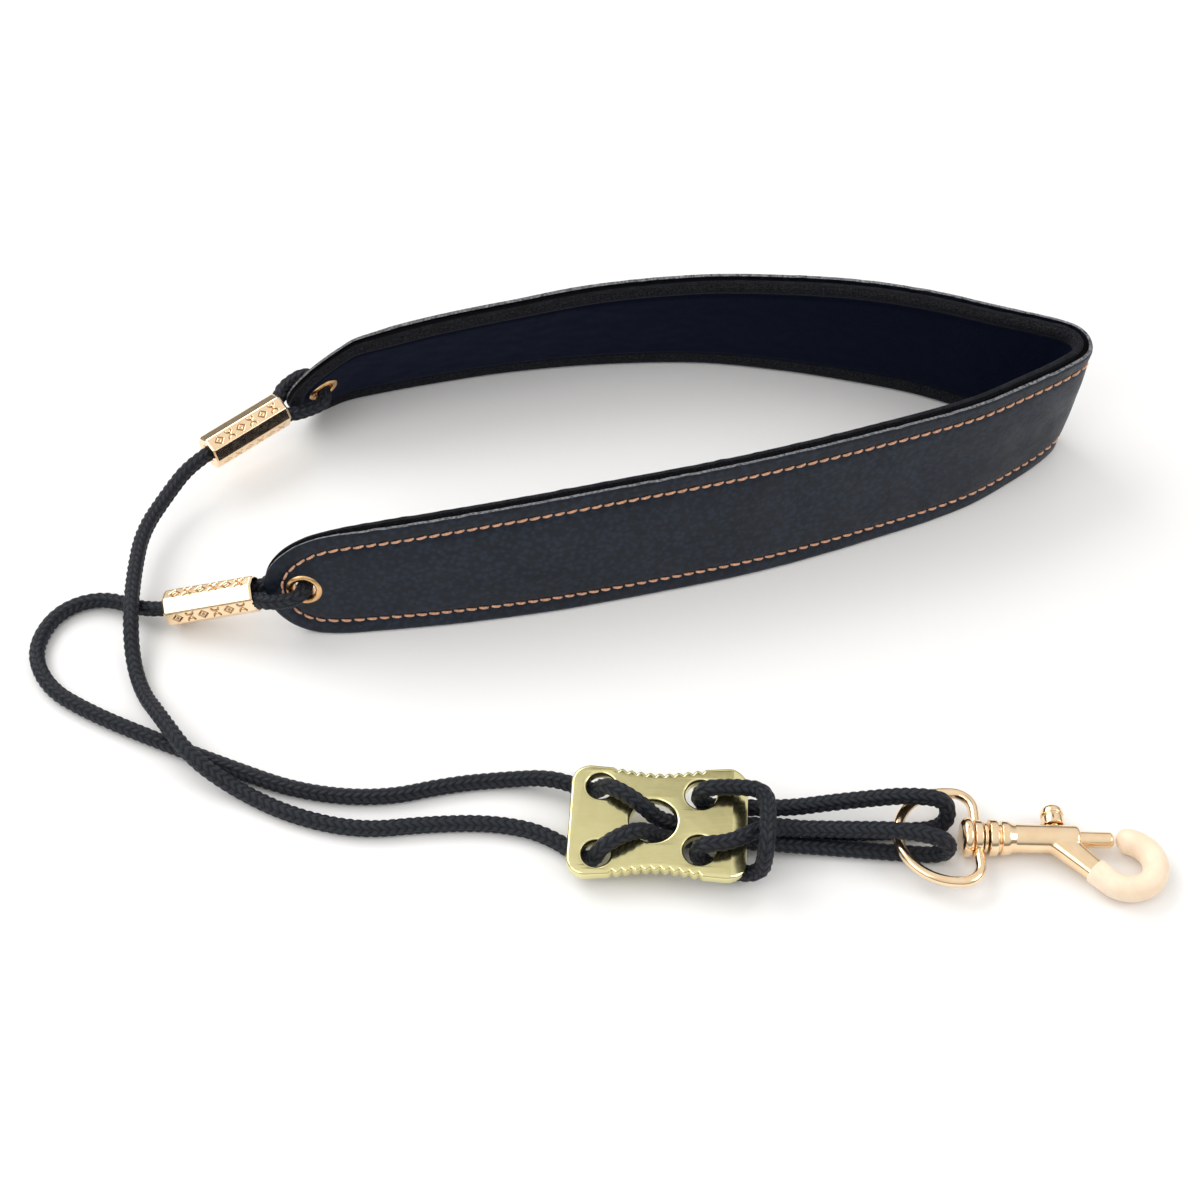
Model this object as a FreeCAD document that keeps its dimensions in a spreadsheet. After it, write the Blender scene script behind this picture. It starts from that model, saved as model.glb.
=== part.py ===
import FreeCAD, Part
import math
import os

import Sketcher

# Saxophone neck strap: a padded leather neck band that stands folded on its edge, two crimp
# ferrules hung in its end eyelets, one continuous braided cord woven through a five-hole
# adjuster plate, and a swivel snap hook on a D-ring. Millimetres, +Z up, resting on z = 0.

Vector = FreeCAD.Vector
Rotation = FreeCAD.Rotation
Placement = FreeCAD.Placement

os.makedirs("parts", exist_ok=True)
doc = FreeCAD.newDocument("neck_strap")

# ---------------------------------------------------------------- driving dimensions

SIZES = {
    "cord_dia": 4.0,
    "pad_width": 38.4,
    "leather_thick": 1.3,
    "foam_thick": 2.2,
    "lining_thick": 1.0,
    "nose_thick": 3.2,
    "eyelet_hole_dia": 5.9,
    "eyelet_flange_dia": 9.2,
    "eyelet_barrel_dia": 6.8,
    "eyelet_gauge": 0.5,
    "ferrule_length": 24.8,
    "ferrule_flats": 9.3,
    "ferrule_mouth_dia": 8.6,
    "ferrule_exit_dia": 4.1,
    "ferrule_pocket": 3.0,
    "plate_length": 43.0,
    "plate_width": 30.0,
    "plate_waist": 26.4,
    "plate_thick": 3.0,
    "plate_corner": 4.0,
    "plate_rim": 0.7,
    "small_hole_dia": 6.9,
    "large_hole_dia": 11.4,
    "edge_hole_dia": 7.6,
    "tooth_pitch": 2.3,
    "tooth_depth": 0.9,
    "ring_wire_dia": 2.6,
    "ring_half_width": 13.1,
    "ring_depth": 19.2,
    "ring_corner": 5.0,
    "boss_dia": 8.5,
    "boss_thick": 1.9,
    "shank_dia": 3.8,
    "running_gap": 0.05,
    "head_dia": 9.6,
    "head_thick": 2.6,
    "washer_dia": 7.4,
    "washer_thick": 0.8,
    "flange_dia": 9.0,
    "barrel_dia": 7.0,
    "neck_start": 6.6,
    "barrel_start": 12.1,
    "barrel_end": 28.6,
    "bolt_dia": 4.0,
    "bolt_travel": 6.5,
    "bolt_start": 20.6,
    "bolt_end": 37.1,
    "bore_start": 11.2,
    "knob_place": 23.1,
    "knob_stem_dia": 2.6,
    "knob_cap_dia": 5.7,
    "hook_radius": 7.0,
    "hook_core_dia": 4.0,
    "cover_dia": 6.3,
    "spring_wire": 0.4,
    "spring_dia": 3.4,
    "spring_turns": 8,
}

sheet = doc.addObject("Spreadsheet::Sheet", "sizes")
for row, (alias, value) in enumerate(SIZES.items(), start=1):
    sheet.set("A%d" % row, alias)
    sheet.set("B%d" % row, str(value))
    sheet.setAlias("B%d" % row, alias)
doc.recompute()


def size(alias):
    return float(sheet.get(alias))


CORD_R = size("cord_dia") / 2
# A bore or slot that takes away less than this volume was not really cut.
LEAST_CUT = 2.0
SUBPARTS = []
# The layout below is measured from a point on the table; this moves it so that the origin is
# the middle of the footprint of everything but the cord.
TO_ORIGIN = Placement(Vector(0.8, -3.2, 0.0), Rotation())


def keep(obj, label, placement=Placement()):
    """Name a sub-part, put it in its place and remember it for export."""
    obj.Label = label
    obj.Placement = TO_ORIGIN.multiply(placement)
    SUBPARTS.append(obj)
    return obj


def shape_part(label, shape, placement=Placement()):
    obj = doc.addObject("Part::Feature", label)
    obj.Shape = shape
    return keep(obj, label, placement)


# ---------------------------------------------------------------- PartDesign helpers

def new_body(label):
    return doc.addObject("PartDesign::Body", label)


def origin_feature(body, role):
    return [feature for feature in body.Origin.OriginFeatures if feature.Role == role][0]


def new_sketch(body, name, role="XY_Plane", offset=None):
    sketch = body.newObject("Sketcher::SketchObject", name)
    sketch.AttachmentSupport = [(origin_feature(body, role), "")]
    sketch.MapMode = "FlatFace"
    if offset is not None:
        sketch.AttachmentOffset = offset
    return sketch


def add_polygon(sketch, points):
    corners = [Vector(x, y, 0) for x, y in points]
    for start, end in zip(corners, corners[1:] + corners[:1]):
        sketch.addGeometry(Part.LineSegment(start, end), False)


def add_circle(sketch, x, y, expression):
    """A circle whose diameter follows a cell of the sheet."""
    index = sketch.addGeometry(Part.Circle(Vector(x, y, 0), Vector(0, 0, 1), 1.0), False)
    number = sketch.addConstraint(Sketcher.Constraint("Diameter", index, 2.0))
    sketch.setExpression("Constraints[%d]" % number, expression)


def revolve(body, name, profile, groove=False):
    """Turn a closed profile of (along, radius) points round the body's X axis."""
    sketch = new_sketch(body, name + "_profile")
    add_polygon(sketch, profile)
    kind = "PartDesign::Groove" if groove else "PartDesign::Revolution"
    feature = body.newObject(kind, name)
    feature.Profile = sketch
    feature.ReferenceAxis = (origin_feature(body, "X_Axis"), [""])
    feature.Angle = 360
    doc.recompute()


# ---------------------------------------------------------------- cords

CORD_FACTS = {}


def cord_path(points):
    """Straight runs joined by tangent arcs, each arc as large as its two runs allow."""
    route = [Vector(*point) for point in points]
    edges = []
    radii = []
    start = route[0]
    for before, corner, after in zip(route, route[1:], route[2:]):
        inward = (corner - before).normalize()
        onward = (after - corner).normalize()
        turn = inward.getAngle(onward)
        reach = 0.45 * min((corner - before).Length, (after - corner).Length)
        radius = reach / math.tan(turn / 2)
        radii.append(radius)
        entry = corner - inward * reach
        leave = corner + onward * reach
        bisector = (onward - inward).normalize()
        middle = corner + bisector * (radius / math.cos(turn / 2) - radius)
        edges.append(Part.LineSegment(start, entry).toShape())
        edges.append(Part.Arc(entry, middle, leave).toShape())
        start = leave
    edges.append(Part.LineSegment(start, route[-1]).toShape())
    return Part.Wire(edges), radii


def cord_tube(label, points):
    """One stretch of the braided cord."""
    path, radii = cord_path(points)
    direction = Vector(*points[1]) - Vector(*points[0])
    section = Part.Wire(Part.Circle(Vector(*points[0]), direction, CORD_R).toShape())
    tube = path.makePipeShell([section], True, True)
    ideal = math.pi * CORD_R ** 2 * path.Length
    CORD_FACTS[label] = (path.Length, min(radii), tube.Volume / ideal)
    return shape_part(label, tube)


# ---------------------------------------------------------------- the neck pad

# Middle line of the pad seen from above, from the near end round the fold to the far end.
PAD_PATH = [
    (-98.5, -5.2), (-82.5, -5.7), (-68.0, -4.4), (-50.0, -2.1), (-26.0, 2.1), (2.0, 8.8),
    (30.0, 16.6), (59.0, 26.9), (87.0, 38.6), (103.0, 48.7), (113.2, 56.3), (117.9, 61.6),
    (117.2, 66.9), (110.2, 71.4), (98.0, 77.0), (80.0, 84.4), (61.0, 89.4), (40.0, 92.9),
    (17.0, 94.8), (-12.0, 92.8), (-38.0, 88.2), (-59.0, 83.2), (-75.0, 78.4), (-85.6, 73.8),
    (-98.3, 64.2),
]
# How far the pad leans towards the inside of its fold, in degrees, at each of those points.
PAD_LEAN = [
    7, 7, 6, 6, 6, 6, 6, 4, 1, -2, -5, -7, -6, -3, 1, 4, 6, 10, 14, 18, 22, 23, 24, 24, 24,
]
# The ends are quarter ellipses this long below and above the eyelet; beyond them the pad
# widens slowly over its taper.
LOWER_NOSE = 15.0
UPPER_NOSE = 22.0
NOSE_TIP = 0.5
NOSE_RISE = 16.0
TAPER_RISE = 6.9
TAPER_LENGTH = 100.0
FLAT_END = 15.4
SWELL_LENGTH = 16.0
FOOT_CLEARANCE = 0.02
EYELET_SET_BACK = 10.0
EYELET_HEIGHT = 15.5


def pad_table():
    """Cumulative chord length at each point of the pad's path."""
    table = [0.0]
    for (x0, y0), (x1, y1) in zip(PAD_PATH, PAD_PATH[1:]):
        table.append(table[-1] + math.hypot(x1 - x0, y1 - y0))
    return table


PAD_TABLE = pad_table()
PAD_LENGTH = PAD_TABLE[-1]
FULL_THICK = size("leather_thick") + size("foam_thick") + size("lining_thick")


def hermite(table, values, place):
    """Smooth curve through values given at the places in table; its two ends are straight."""
    last = len(table) - 2
    span = max(0, min(last, sum(1 for knot in table if knot <= place) - 1))

    def slope(i):
        low = i - 1
        high = i + 1
        if i <= 1:
            low, high = 0, 1
        elif i >= last:
            low, high = last, last + 1
        return (values[high] - values[low]) / (table[high] - table[low])

    width = table[span + 1] - table[span]
    t = (place - table[span]) / width
    return (
        values[span] * (2 * t ** 3 - 3 * t ** 2 + 1)
        + slope(span) * width * (t ** 3 - 2 * t ** 2 + t)
        + values[span + 1] * (3 * t ** 2 - 2 * t ** 3)
        + slope(span + 1) * width * (t ** 3 - t ** 2)
    )


def pad_station(place):
    """Foot of the middle surface, its inward normal and its upward direction at a place."""
    def point(s):
        return Vector(
            hermite(PAD_TABLE, [p[0] for p in PAD_PATH], s),
            hermite(PAD_TABLE, [p[1] for p in PAD_PATH], s),
            0,
        )

    low = max(0.0, place - 0.01)
    high = min(PAD_LENGTH, place + 0.01)
    along = (point(high) - point(low)).normalize()
    inward = Vector(-along.y, along.x, 0)
    lean = math.radians(hermite(PAD_TABLE, PAD_LEAN, place))
    up = Vector(0, 0, math.cos(lean)) + inward * math.sin(lean)
    normal = inward * math.cos(lean) - Vector(0, 0, math.sin(lean))
    half = size("pad_width") / 2
    lift = half * math.cos(lean) + pad_thickness(place) / 2 * abs(math.sin(lean)) + FOOT_CLEARANCE
    return point(place) + Vector(0, 0, lift) - up * half, normal, up


def nose_share(end, length):
    """Share of the full height left at a distance from the pad's end: a quarter ellipse."""
    reach = max(0.0, length - end) / (length + NOSE_TIP)
    return math.sqrt(max(0.0, 1 - reach ** 2))


def pad_edges(place):
    """Heights of the lower and upper edge across the pad: rounded noses, long tapers."""
    end = min(place, PAD_LENGTH - place)
    low = EYELET_HEIGHT * nose_share(end, LOWER_NOSE)
    rise = NOSE_RISE * nose_share(end, UPPER_NOSE)
    taper = min(1.0, max(0.0, end) / TAPER_LENGTH)
    rise += TAPER_RISE * math.sin(math.pi / 2 * taper)
    return EYELET_HEIGHT - low, EYELET_HEIGHT + rise


def pad_thickness(place):
    """Thin flat ends that swell to the full thickness."""
    end = min(place, PAD_LENGTH - place)
    share = max(0.0, min(1.0, (end - FLAT_END) / SWELL_LENGTH))
    return size("nose_thick") + (FULL_THICK - size("nose_thick")) * share


NOSE_STATIONS = [0.0, 1.0, 2.5, 4.5, 7.0, 10.0, 13.0, FLAT_END, 20.0, 26.0, 32.0]
FOLD_PLACE = PAD_TABLE[11] + 2.0
SHORTEST_STEP = 2.2
LONGEST_STEP = 12.0
STEP_GROWTH = 3.2


def pad_places():
    """Stations along the pad: close together at the noses and in the fold."""
    places = list(NOSE_STATIONS)
    while places[-1] < PAD_LENGTH - NOSE_STATIONS[-1] - LONGEST_STEP + SHORTEST_STEP:
        step = abs(places[-1] - FOLD_PLACE) / STEP_GROWTH
        places.append(places[-1] + max(SHORTEST_STEP, min(LONGEST_STEP, step)))
    return places + [PAD_LENGTH - end for end in reversed(NOSE_STATIONS)]


HOLE_DEPTH = 12.0


def pad_layer(label, outer_share, inner_share):
    """A layer of the pad between two shares of its thickness, counted from the outer face."""
    wires = []
    for place in pad_places():
        foot, normal, up = pad_station(place)
        low, high = pad_edges(place)
        thick = pad_thickness(place)
        outer = normal * (thick * (outer_share - 0.5))
        inner = normal * (thick * (inner_share - 0.5))
        corners = [
            foot + up * low + outer,
            foot + up * low + inner,
            foot + up * high + inner,
            foot + up * high + outer,
        ]
        wires.append(Part.makePolygon(corners + corners[:1]))
    layer = Part.makeLoft(wires, True, True)
    for eyelet in EYELETS:
        hole = Part.makeCylinder(
            size("eyelet_barrel_dia") / 2 + size("running_gap"),
            HOLE_DEPTH,
            eyelet["centre"] - eyelet["normal"] * (HOLE_DEPTH / 2),
            eyelet["normal"],
        )
        layer = layer.cut(hole)
    return shape_part(label, layer)


def eyelet_frame(place, strand):
    """Centre and axis of an end eyelet; strand is the direction its ferrule hangs in."""
    foot, normal, up = pad_station(place)
    direction = Vector(*strand)
    axis = (normal - direction * normal.dot(direction)).normalize()
    return {
        "centre": foot + up * EYELET_HEIGHT,
        "normal": normal,
        "axis": axis,
        "strand": direction,
        "thick": pad_thickness(place),
    }


NEAR_STRAND = Vector(-0.965, 0.020, -0.261).normalize()
FAR_STRAND = Vector(-0.765, -0.640, -0.080).normalize()
EYELETS = [
    eyelet_frame(EYELET_SET_BACK, NEAR_STRAND),
    eyelet_frame(PAD_LENGTH - EYELET_SET_BACK, FAR_STRAND),
]

leather_share = size("leather_thick") / FULL_THICK
lining_share = size("lining_thick") / FULL_THICK
pad_layer("pad_leather", 0.0, leather_share)
pad_layer("pad_foam", leather_share, 1.0 - lining_share)
pad_layer("pad_lining", 1.0 - lining_share, 1.0)


# ---------------------------------------------------------------- eyelets and washers

def turned_to(direction, position):
    """Placement that lays the X axis along a direction."""
    return Placement(position, Rotation(Vector(1, 0, 0), direction))


def make_eyelet(label, frame):
    """Flanged tube through the pad; the body's X axis runs from the outer face inwards."""
    body = new_body(label)
    bore = size("eyelet_hole_dia") / 2
    barrel = size("eyelet_barrel_dia") / 2
    flange = size("eyelet_flange_dia") / 2
    gauge = size("eyelet_gauge")
    face = frame["thick"] / 2
    profile = [
        (-face - gauge, bore + 0.3), (-face - gauge, flange - 0.3), (-face - gauge * 0.6, flange),
        (-face, flange), (-face, barrel), (face + gauge, barrel), (face + gauge, bore + 0.1),
        (-face + 0.1, bore), (-face - gauge * 0.6, bore),
    ]
    revolve(body, label + "_turned", profile)
    return keep(body, label, turned_to(frame["normal"], frame["centre"]))


def make_eyelet_washer(label, frame):
    """Flat ring clinched over the eyelet's tube on the lining side."""
    outer = doc.addObject("Part::Cylinder", label + "_disc")
    outer.setExpression("Radius", "sizes.eyelet_flange_dia / 2")
    outer.setExpression("Height", "sizes.eyelet_gauge")
    inner = doc.addObject("Part::Cylinder", label + "_hole")
    inner.setExpression("Radius", "sizes.eyelet_barrel_dia / 2 + 0.02")
    inner.setExpression("Height", "sizes.eyelet_gauge")
    cut = doc.addObject("Part::Cut", label)
    cut.Base = outer
    cut.Tool = inner
    doc.recompute()
    face = frame["centre"] + frame["normal"] * (frame["thick"] / 2)
    turn = Rotation(Vector(0, 0, 1), frame["normal"])
    return keep(cut, label, Placement(face, turn))


SIDES = ("near", "far")
for side, frame in zip(SIDES, EYELETS):
    make_eyelet(side + "_pad_eyelet", frame)
    make_eyelet_washer(side + "_eyelet_washer", frame)


# ---------------------------------------------------------------- ferrules and their cord loops

FERRULE_MOUTH = 13.4
FERRULE_EASE = 0.35
FERRULE_FACETS = 8
FERRULE_EXIT = FERRULE_MOUTH + size("ferrule_length")


def strand_point(frame, along, aside=0.0):
    return frame["centre"] + frame["strand"] * along + frame["axis"] * aside


def make_ferrule(label, frame):
    """Eight-sided crimp tube with a wide mouth for the loop and a narrow one for the cord."""
    body = new_body(label)
    sketch = new_sketch(body, label + "_section", "YZ_Plane")
    add_polygon(sketch, eased_polygon(size("ferrule_flats") / 2))
    pad = body.newObject("PartDesign::Pad", label + "_bar")
    pad.Profile = sketch
    pad.setExpression("Length", "sizes.ferrule_length")
    doc.recompute()
    outside = pad.Shape.Volume
    for name, cell, at_end in (("mouth", "ferrule_mouth_dia", False),
                               ("exit", "ferrule_exit_dia", True)):
        place = size("ferrule_length") if at_end else 0.0
        bore = new_sketch(body, label + "_" + name, "YZ_Plane",
                          Placement(Vector(0, 0, place), Rotation()))
        add_circle(bore, 0, 0, "sizes." + cell)
        pocket = body.newObject("PartDesign::Pocket", label + "_" + name + "_bore")
        pocket.Profile = bore
        pocket.setExpression("Length", "sizes.ferrule_pocket")
        pocket.Reversed = not at_end
        doc.recompute()
        removed = outside - pocket.Shape.Volume
        if removed < LEAST_CUT:
            raise RuntimeError("%s %s removed only %.2f mm3" % (label, name, removed))
        outside = pocket.Shape.Volume
    turn = frame_rotation(frame["strand"], frame["axis"])
    return keep(body, label, Placement(strand_point(frame, FERRULE_MOUTH), turn))


def eased_polygon(across):
    """Flats at a distance from the middle, with their corners cut back a little."""
    half_flat = across * math.tan(math.pi / FERRULE_FACETS) - FERRULE_EASE
    points = []
    for i in range(FERRULE_FACETS):
        turn = i * 2 * math.pi / FERRULE_FACETS
        for aside in (-half_flat, half_flat):
            points.append((across * math.cos(turn) - aside * math.sin(turn),
                           across * math.sin(turn) + aside * math.cos(turn)))
    return points


def frame_rotation(x_axis, y_axis):
    """Rotation whose X and Y axes are the two given directions."""
    x = Vector(x_axis).normalize()
    y = (y_axis - x * y_axis.dot(x)).normalize()
    z = x.cross(y)
    matrix = FreeCAD.Matrix(
        x.x, y.x, z.x, 0, x.y, y.y, z.y, 0, x.z, y.z, z.z, 0, 0, 0, 0, 1)
    return Placement(matrix).Rotation


def loop_points(frame, side):
    """One leg of the loop, from inside the ferrule's mouth to the eyelet."""
    in_plane = frame["strand"] - frame["normal"] * frame["strand"].dot(frame["normal"])
    in_plane.normalize()
    return [
        strand_point(frame, 16.35, side * 2.12),
        strand_point(frame, 13.2, side * 2.15),
        frame["centre"] + in_plane * 9.6 + frame["normal"] * side * 4.7,
        frame["centre"] + frame["normal"] * side * 5.4,
    ]


for side, frame in zip(SIDES, EYELETS):
    make_ferrule(side + "_ferrule", frame)
    legs = loop_points(frame, -1) + loop_points(frame, 1)[::-1]
    cord_tube(side + "_eyelet_loop", [tuple(p) for p in legs])


# ---------------------------------------------------------------- adjuster plate

PLATE_CENTRE = Vector(1.9, -76.6, 7.9)
PLATE_YAW = -3.5
PLATE_ROLL = 8.0
PLATE_PITCH = -2.5
PLATE_TURN = Rotation(Vector(0, 0, 1), PLATE_YAW).multiply(
    Rotation(Vector(1, 0, 0), PLATE_ROLL)).multiply(Rotation(Vector(0, 1, 0), PLATE_PITCH))
PLATE_FRAME = Placement(PLATE_CENTRE, PLATE_TURN)


def at_plate(x, y, z):
    return tuple(PLATE_FRAME.multVec(Vector(x, y, z)))


HOLES = {
    "upper_left": (-14.3, 9.2, "small_hole_dia"),
    "lower_left": (-14.3, -9.2, "small_hole_dia"),
    "centre": (-1.1, 0.0, "large_hole_dia"),
    "upper_right": (10.2, 7.5, "edge_hole_dia"),
    "lower_right": (10.2, -7.5, "edge_hole_dia"),
}


TEETH = 10
SMALLEST_RIM = 3.0


def plate_outline():
    """Rounded corners, straight ends and two hollow waists cut with grip teeth."""
    half_length = size("plate_length") / 2
    half_width = size("plate_width") / 2
    waist = size("plate_waist") / 2
    corner = size("plate_corner")
    pitch = size("tooth_pitch")
    depth = size("tooth_depth")
    start = -pitch * TEETH / 2
    top = []
    for angle in range(0, 91, 15):
        a = math.radians(angle)
        top.append((half_length - corner + corner * math.cos(a),
                    half_width - corner + corner * math.sin(a)))

    def waist_height(x):
        reach = half_length - corner
        return waist + (half_width - waist) * (1 - math.cos(math.pi * x / reach)) / 2

    for step in range(2 * TEETH, -1, -1):
        x = start + step * pitch / 2
        top.append((x, waist_height(x) - (depth if step % 2 else 0.0)))
    for angle in range(90, 181, 15):
        a = math.radians(angle)
        top.append((-half_length + corner + corner * math.cos(a),
                    half_width - corner + corner * math.sin(a)))
    return top + [(-x, -y) for x, y in top]


plate = new_body("adjuster_plate")
outline = new_sketch(plate, "plate_outline")
add_polygon(outline, plate_outline())
plate_pad = plate.newObject("PartDesign::Pad", "plate_blank")
plate_pad.Profile = outline
plate_pad.setExpression("Length", "sizes.plate_thick")
plate_pad.SideType = "Symmetric"
doc.recompute()
blank_volume = plate_pad.Shape.Volume
hole_sketch = new_sketch(plate, "plate_holes")
for hole_x, hole_y, cell in HOLES.values():
    add_circle(hole_sketch, hole_x, hole_y, "sizes." + cell)
hole_pocket = plate.newObject("PartDesign::Pocket", "plate_drilled")
hole_pocket.Profile = hole_sketch
hole_pocket.Type = "ThroughAll"
hole_pocket.SideType = "Symmetric"
doc.recompute()
if blank_volume - hole_pocket.Shape.Volume < LEAST_CUT * len(HOLES):
    raise RuntimeError("the plate's holes are not cut")
rims = ["Edge%d" % (i + 1) for i, edge in enumerate(hole_pocket.Shape.Edges)
        if edge.Curve.TypeId == "Part::GeomCircle" and edge.Curve.Radius > SMALLEST_RIM
        and abs(edge.Length - 2 * math.pi * edge.Curve.Radius) < 0.01]
rim_fillet = plate.newObject("PartDesign::Fillet", "plate_rims")
rim_fillet.Base = (hole_pocket, rims)
rim_fillet.setExpression("Radius", "sizes.plate_rim")
doc.recompute()
keep(plate, "adjuster_plate", PLATE_FRAME)

# ---------------------------------------------------------------- the long cord

FLOOR = CORD_R + 0.1
CORD_SEAT = FERRULE_EXIT - size("ferrule_pocket") + size("running_gap")
NEAR_START = strand_point(EYELETS[0], CORD_SEAT)
FAR_START = strand_point(EYELETS[1], CORD_SEAT)

# Stretches of the one long cord in the order it runs. Two neighbours meet midway between the
# last point of one and the first point of the next. Points made by at_plate are in the
# plate's own frame: x to the hook, y away, z up through the plate.
CORD = [
    ("near_cord_ferrule_end", [
        tuple(NEAR_START), tuple(strand_point(EYELETS[0], 44.0)), (-144.5, 2.0, 2.4),
        (-156.0, -3.2, FLOOR), (-160.0, -17.0, FLOOR), (-154.0, -29.5, FLOOR),
        (-142.0, -37.5, FLOOR),
    ]),
    ("near_cord_plate_end", [
        (-127.0, -45.0, FLOOR), (-106.0, -54.5, FLOOR), (-86.0, -63.0, FLOOR),
        (-66.0, -65.0, FLOOR), (-49.0, -60.5, FLOOR), (-36.0, -59.0, FLOOR),
        at_plate(-26.5, 14.4, -4.4),
    ]),
    ("weave_upper_cord", [
        at_plate(-16.2, 10.0, -4.3), at_plate(-12.8, 8.4, 4.2), at_plate(-4.2, 3.3, 4.2),
        at_plate(0.9, 2.15, -4.1), at_plate(12.0, 2.4, -3.9),
    ]),
    ("upper_bight_cord", [
        at_plate(23.0, 2.4, -3.9), (35.0, -73.9, 2.6), (47.0, -75.2, FLOOR),
        (60.0, -74.8, FLOOR), (72.2, -73.9, FLOOR), (72.3, -71.4, 10.6), (62.5, -69.9, 10.2),
        (53.5, -68.8, 7.4), (44.0, -69.0, 6.0), (34.5, -70.0, 5.2),
    ]),
    ("wrap_cord", [
        at_plate(20.0, 7.1, -4.0), at_plate(9.8, 7.4, -4.3), at_plate(9.8, 7.5, 4.4),
        at_plate(18.2, 8.2, 4.4), at_plate(25.8, 7.2, 5.2), at_plate(26.6, -1.0, 7.2),
        at_plate(26.3, -9.2, 6.3), at_plate(25.0, -11.6, -4.4),
    ]),
    ("lower_edge_cord", [
        at_plate(9.9, -8.2, -4.4), at_plate(9.8, -7.5, 4.3), at_plate(17.4, -6.9, 4.2),
        at_plate(23.6, -3.2, 4.0), at_plate(27.6, 0.4, -1.4),
    ]),
    ("lower_bight_cord", [
        (38.0, -77.2, 6.5), (49.0, -78.2, 7.6), (60.5, -80.2, 10.2), (71.4, -83.4, 10.6),
        (71.4, -82.0, FLOOR), (60.0, -81.2, FLOOR), (48.0, -80.0, FLOOR), (36.0, -79.2, 2.5),
    ]),
    ("weave_lower_cord", [
        at_plate(23.0, -2.2, -3.9), at_plate(12.0, -2.2, -3.9), at_plate(0.9, -2.15, -4.1),
        at_plate(-4.2, -3.3, 4.2), at_plate(-13.0, -8.6, 4.2), at_plate(-15.6, -9.6, -4.0),
    ]),
    ("far_cord_plate_end", [
        at_plate(-27.0, -1.4, -4.3), (-38.0, -72.2, FLOOR), (-54.0, -72.6, FLOOR),
        (-70.0, -74.6, FLOOR), (-86.5, -70.5, FLOOR),
        (-101.0, -62.7, FLOOR), (-113.3, -55.7, 6.6), (-122.7, -42.3, 6.6),
        (-129.5, -31.0, 2.15),
    ]),
    ("far_cord_ferrule_end", [
        (-133.2, -20.8, 3.7), (-134.8, -9.0, 7.7), (-135.8, 5.5, 7.9), (-135.6, 20.5, 8.2),
        (-130.6, 34.0, 8.6), tuple(strand_point(EYELETS[1], 44.0)), tuple(FAR_START),
    ]),
]


def halfway(one, other):
    return tuple((a + b) / 2 for a, b in zip(one, other))


for index, (label, points) in enumerate(CORD):
    route = list(points)
    if index > 0:
        route.insert(0, halfway(CORD[index - 1][1][-1], points[0]))
    if index < len(CORD) - 1:
        route.append(halfway(points[-1], CORD[index + 1][1][0]))
    cord_tube(label, route)

# ---------------------------------------------------------------- D-ring

HOOK_ORIGIN = Vector(74.9, -78.6, 5.1)
HOOK_PITCH = 2.2
HOOK_FRAME = Placement(HOOK_ORIGIN, Rotation(Vector(0, 1, 0), HOOK_PITCH))
RING_BAR_X = 4.0
BOSS_EDGE = 0.4
WASHER_EDGE = 0.25
WASHER_GAP = 0.15


def sketch_arc(sketch, centre, radius, start, end):
    circle = Part.Circle(Vector(centre[0], centre[1], 0), Vector(0, 0, 1), radius)
    arc = Part.ArcOfCircle(circle, math.radians(start), math.radians(end))
    sketch.addGeometry(arc, False)


def sketch_line(sketch, start, end):
    sketch.addGeometry(Part.LineSegment(Vector(*start, 0), Vector(*end, 0)), False)


ring = new_body("d_ring")
ring_path = new_sketch(ring, "ring_path")
half = size("ring_half_width")
corner = size("ring_corner")
arc_x = RING_BAR_X - size("ring_depth") + half
sketch_line(ring_path, (RING_BAR_X, -half + corner), (RING_BAR_X, half - corner))
sketch_arc(ring_path, (RING_BAR_X - corner, half - corner), corner, 0, 90)
sketch_line(ring_path, (RING_BAR_X - corner, half), (arc_x, half))
sketch_arc(ring_path, (arc_x, 0), half, 90, 270)
sketch_line(ring_path, (arc_x, -half), (RING_BAR_X - corner, -half))
sketch_arc(ring_path, (RING_BAR_X - corner, -half + corner), corner, 270, 360)
wire_section = new_sketch(ring, "ring_section", "XZ_Plane")
add_circle(wire_section, RING_BAR_X, 0, "sizes.ring_wire_dia")
doc.recompute()
ring_pipe = ring.newObject("PartDesign::AdditivePipe", "ring_wire")
ring_pipe.Profile = wire_section
ring_pipe.Spine = (ring_path, ["Edge%d" % (i + 1) for i in range(6)])
doc.recompute()
boss_half = size("boss_thick") / 2
boss_r = size("boss_dia") / 2
revolve(ring, "ring_boss", [
    (RING_BAR_X - boss_half, 0), (RING_BAR_X - boss_half, boss_r - BOSS_EDGE),
    (RING_BAR_X - boss_half + BOSS_EDGE, boss_r), (RING_BAR_X + boss_half - BOSS_EDGE, boss_r),
    (RING_BAR_X + boss_half, boss_r - BOSS_EDGE), (RING_BAR_X + boss_half, 0),
])
solid_ring = ring.Tip.Shape.Volume
bore_r = size("shank_dia") / 2 + size("running_gap")
reach = size("ring_wire_dia")
revolve(ring, "ring_bore", [
    (RING_BAR_X - reach, 0), (RING_BAR_X - reach, bore_r),
    (RING_BAR_X + reach, bore_r), (RING_BAR_X + reach, 0),
], groove=True)
if solid_ring - ring.Tip.Shape.Volume < LEAST_CUT:
    raise RuntimeError("the ring's bore is not cut")
keep(ring, "d_ring", HOOK_FRAME)

# ---------------------------------------------------------------- swivel

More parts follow.
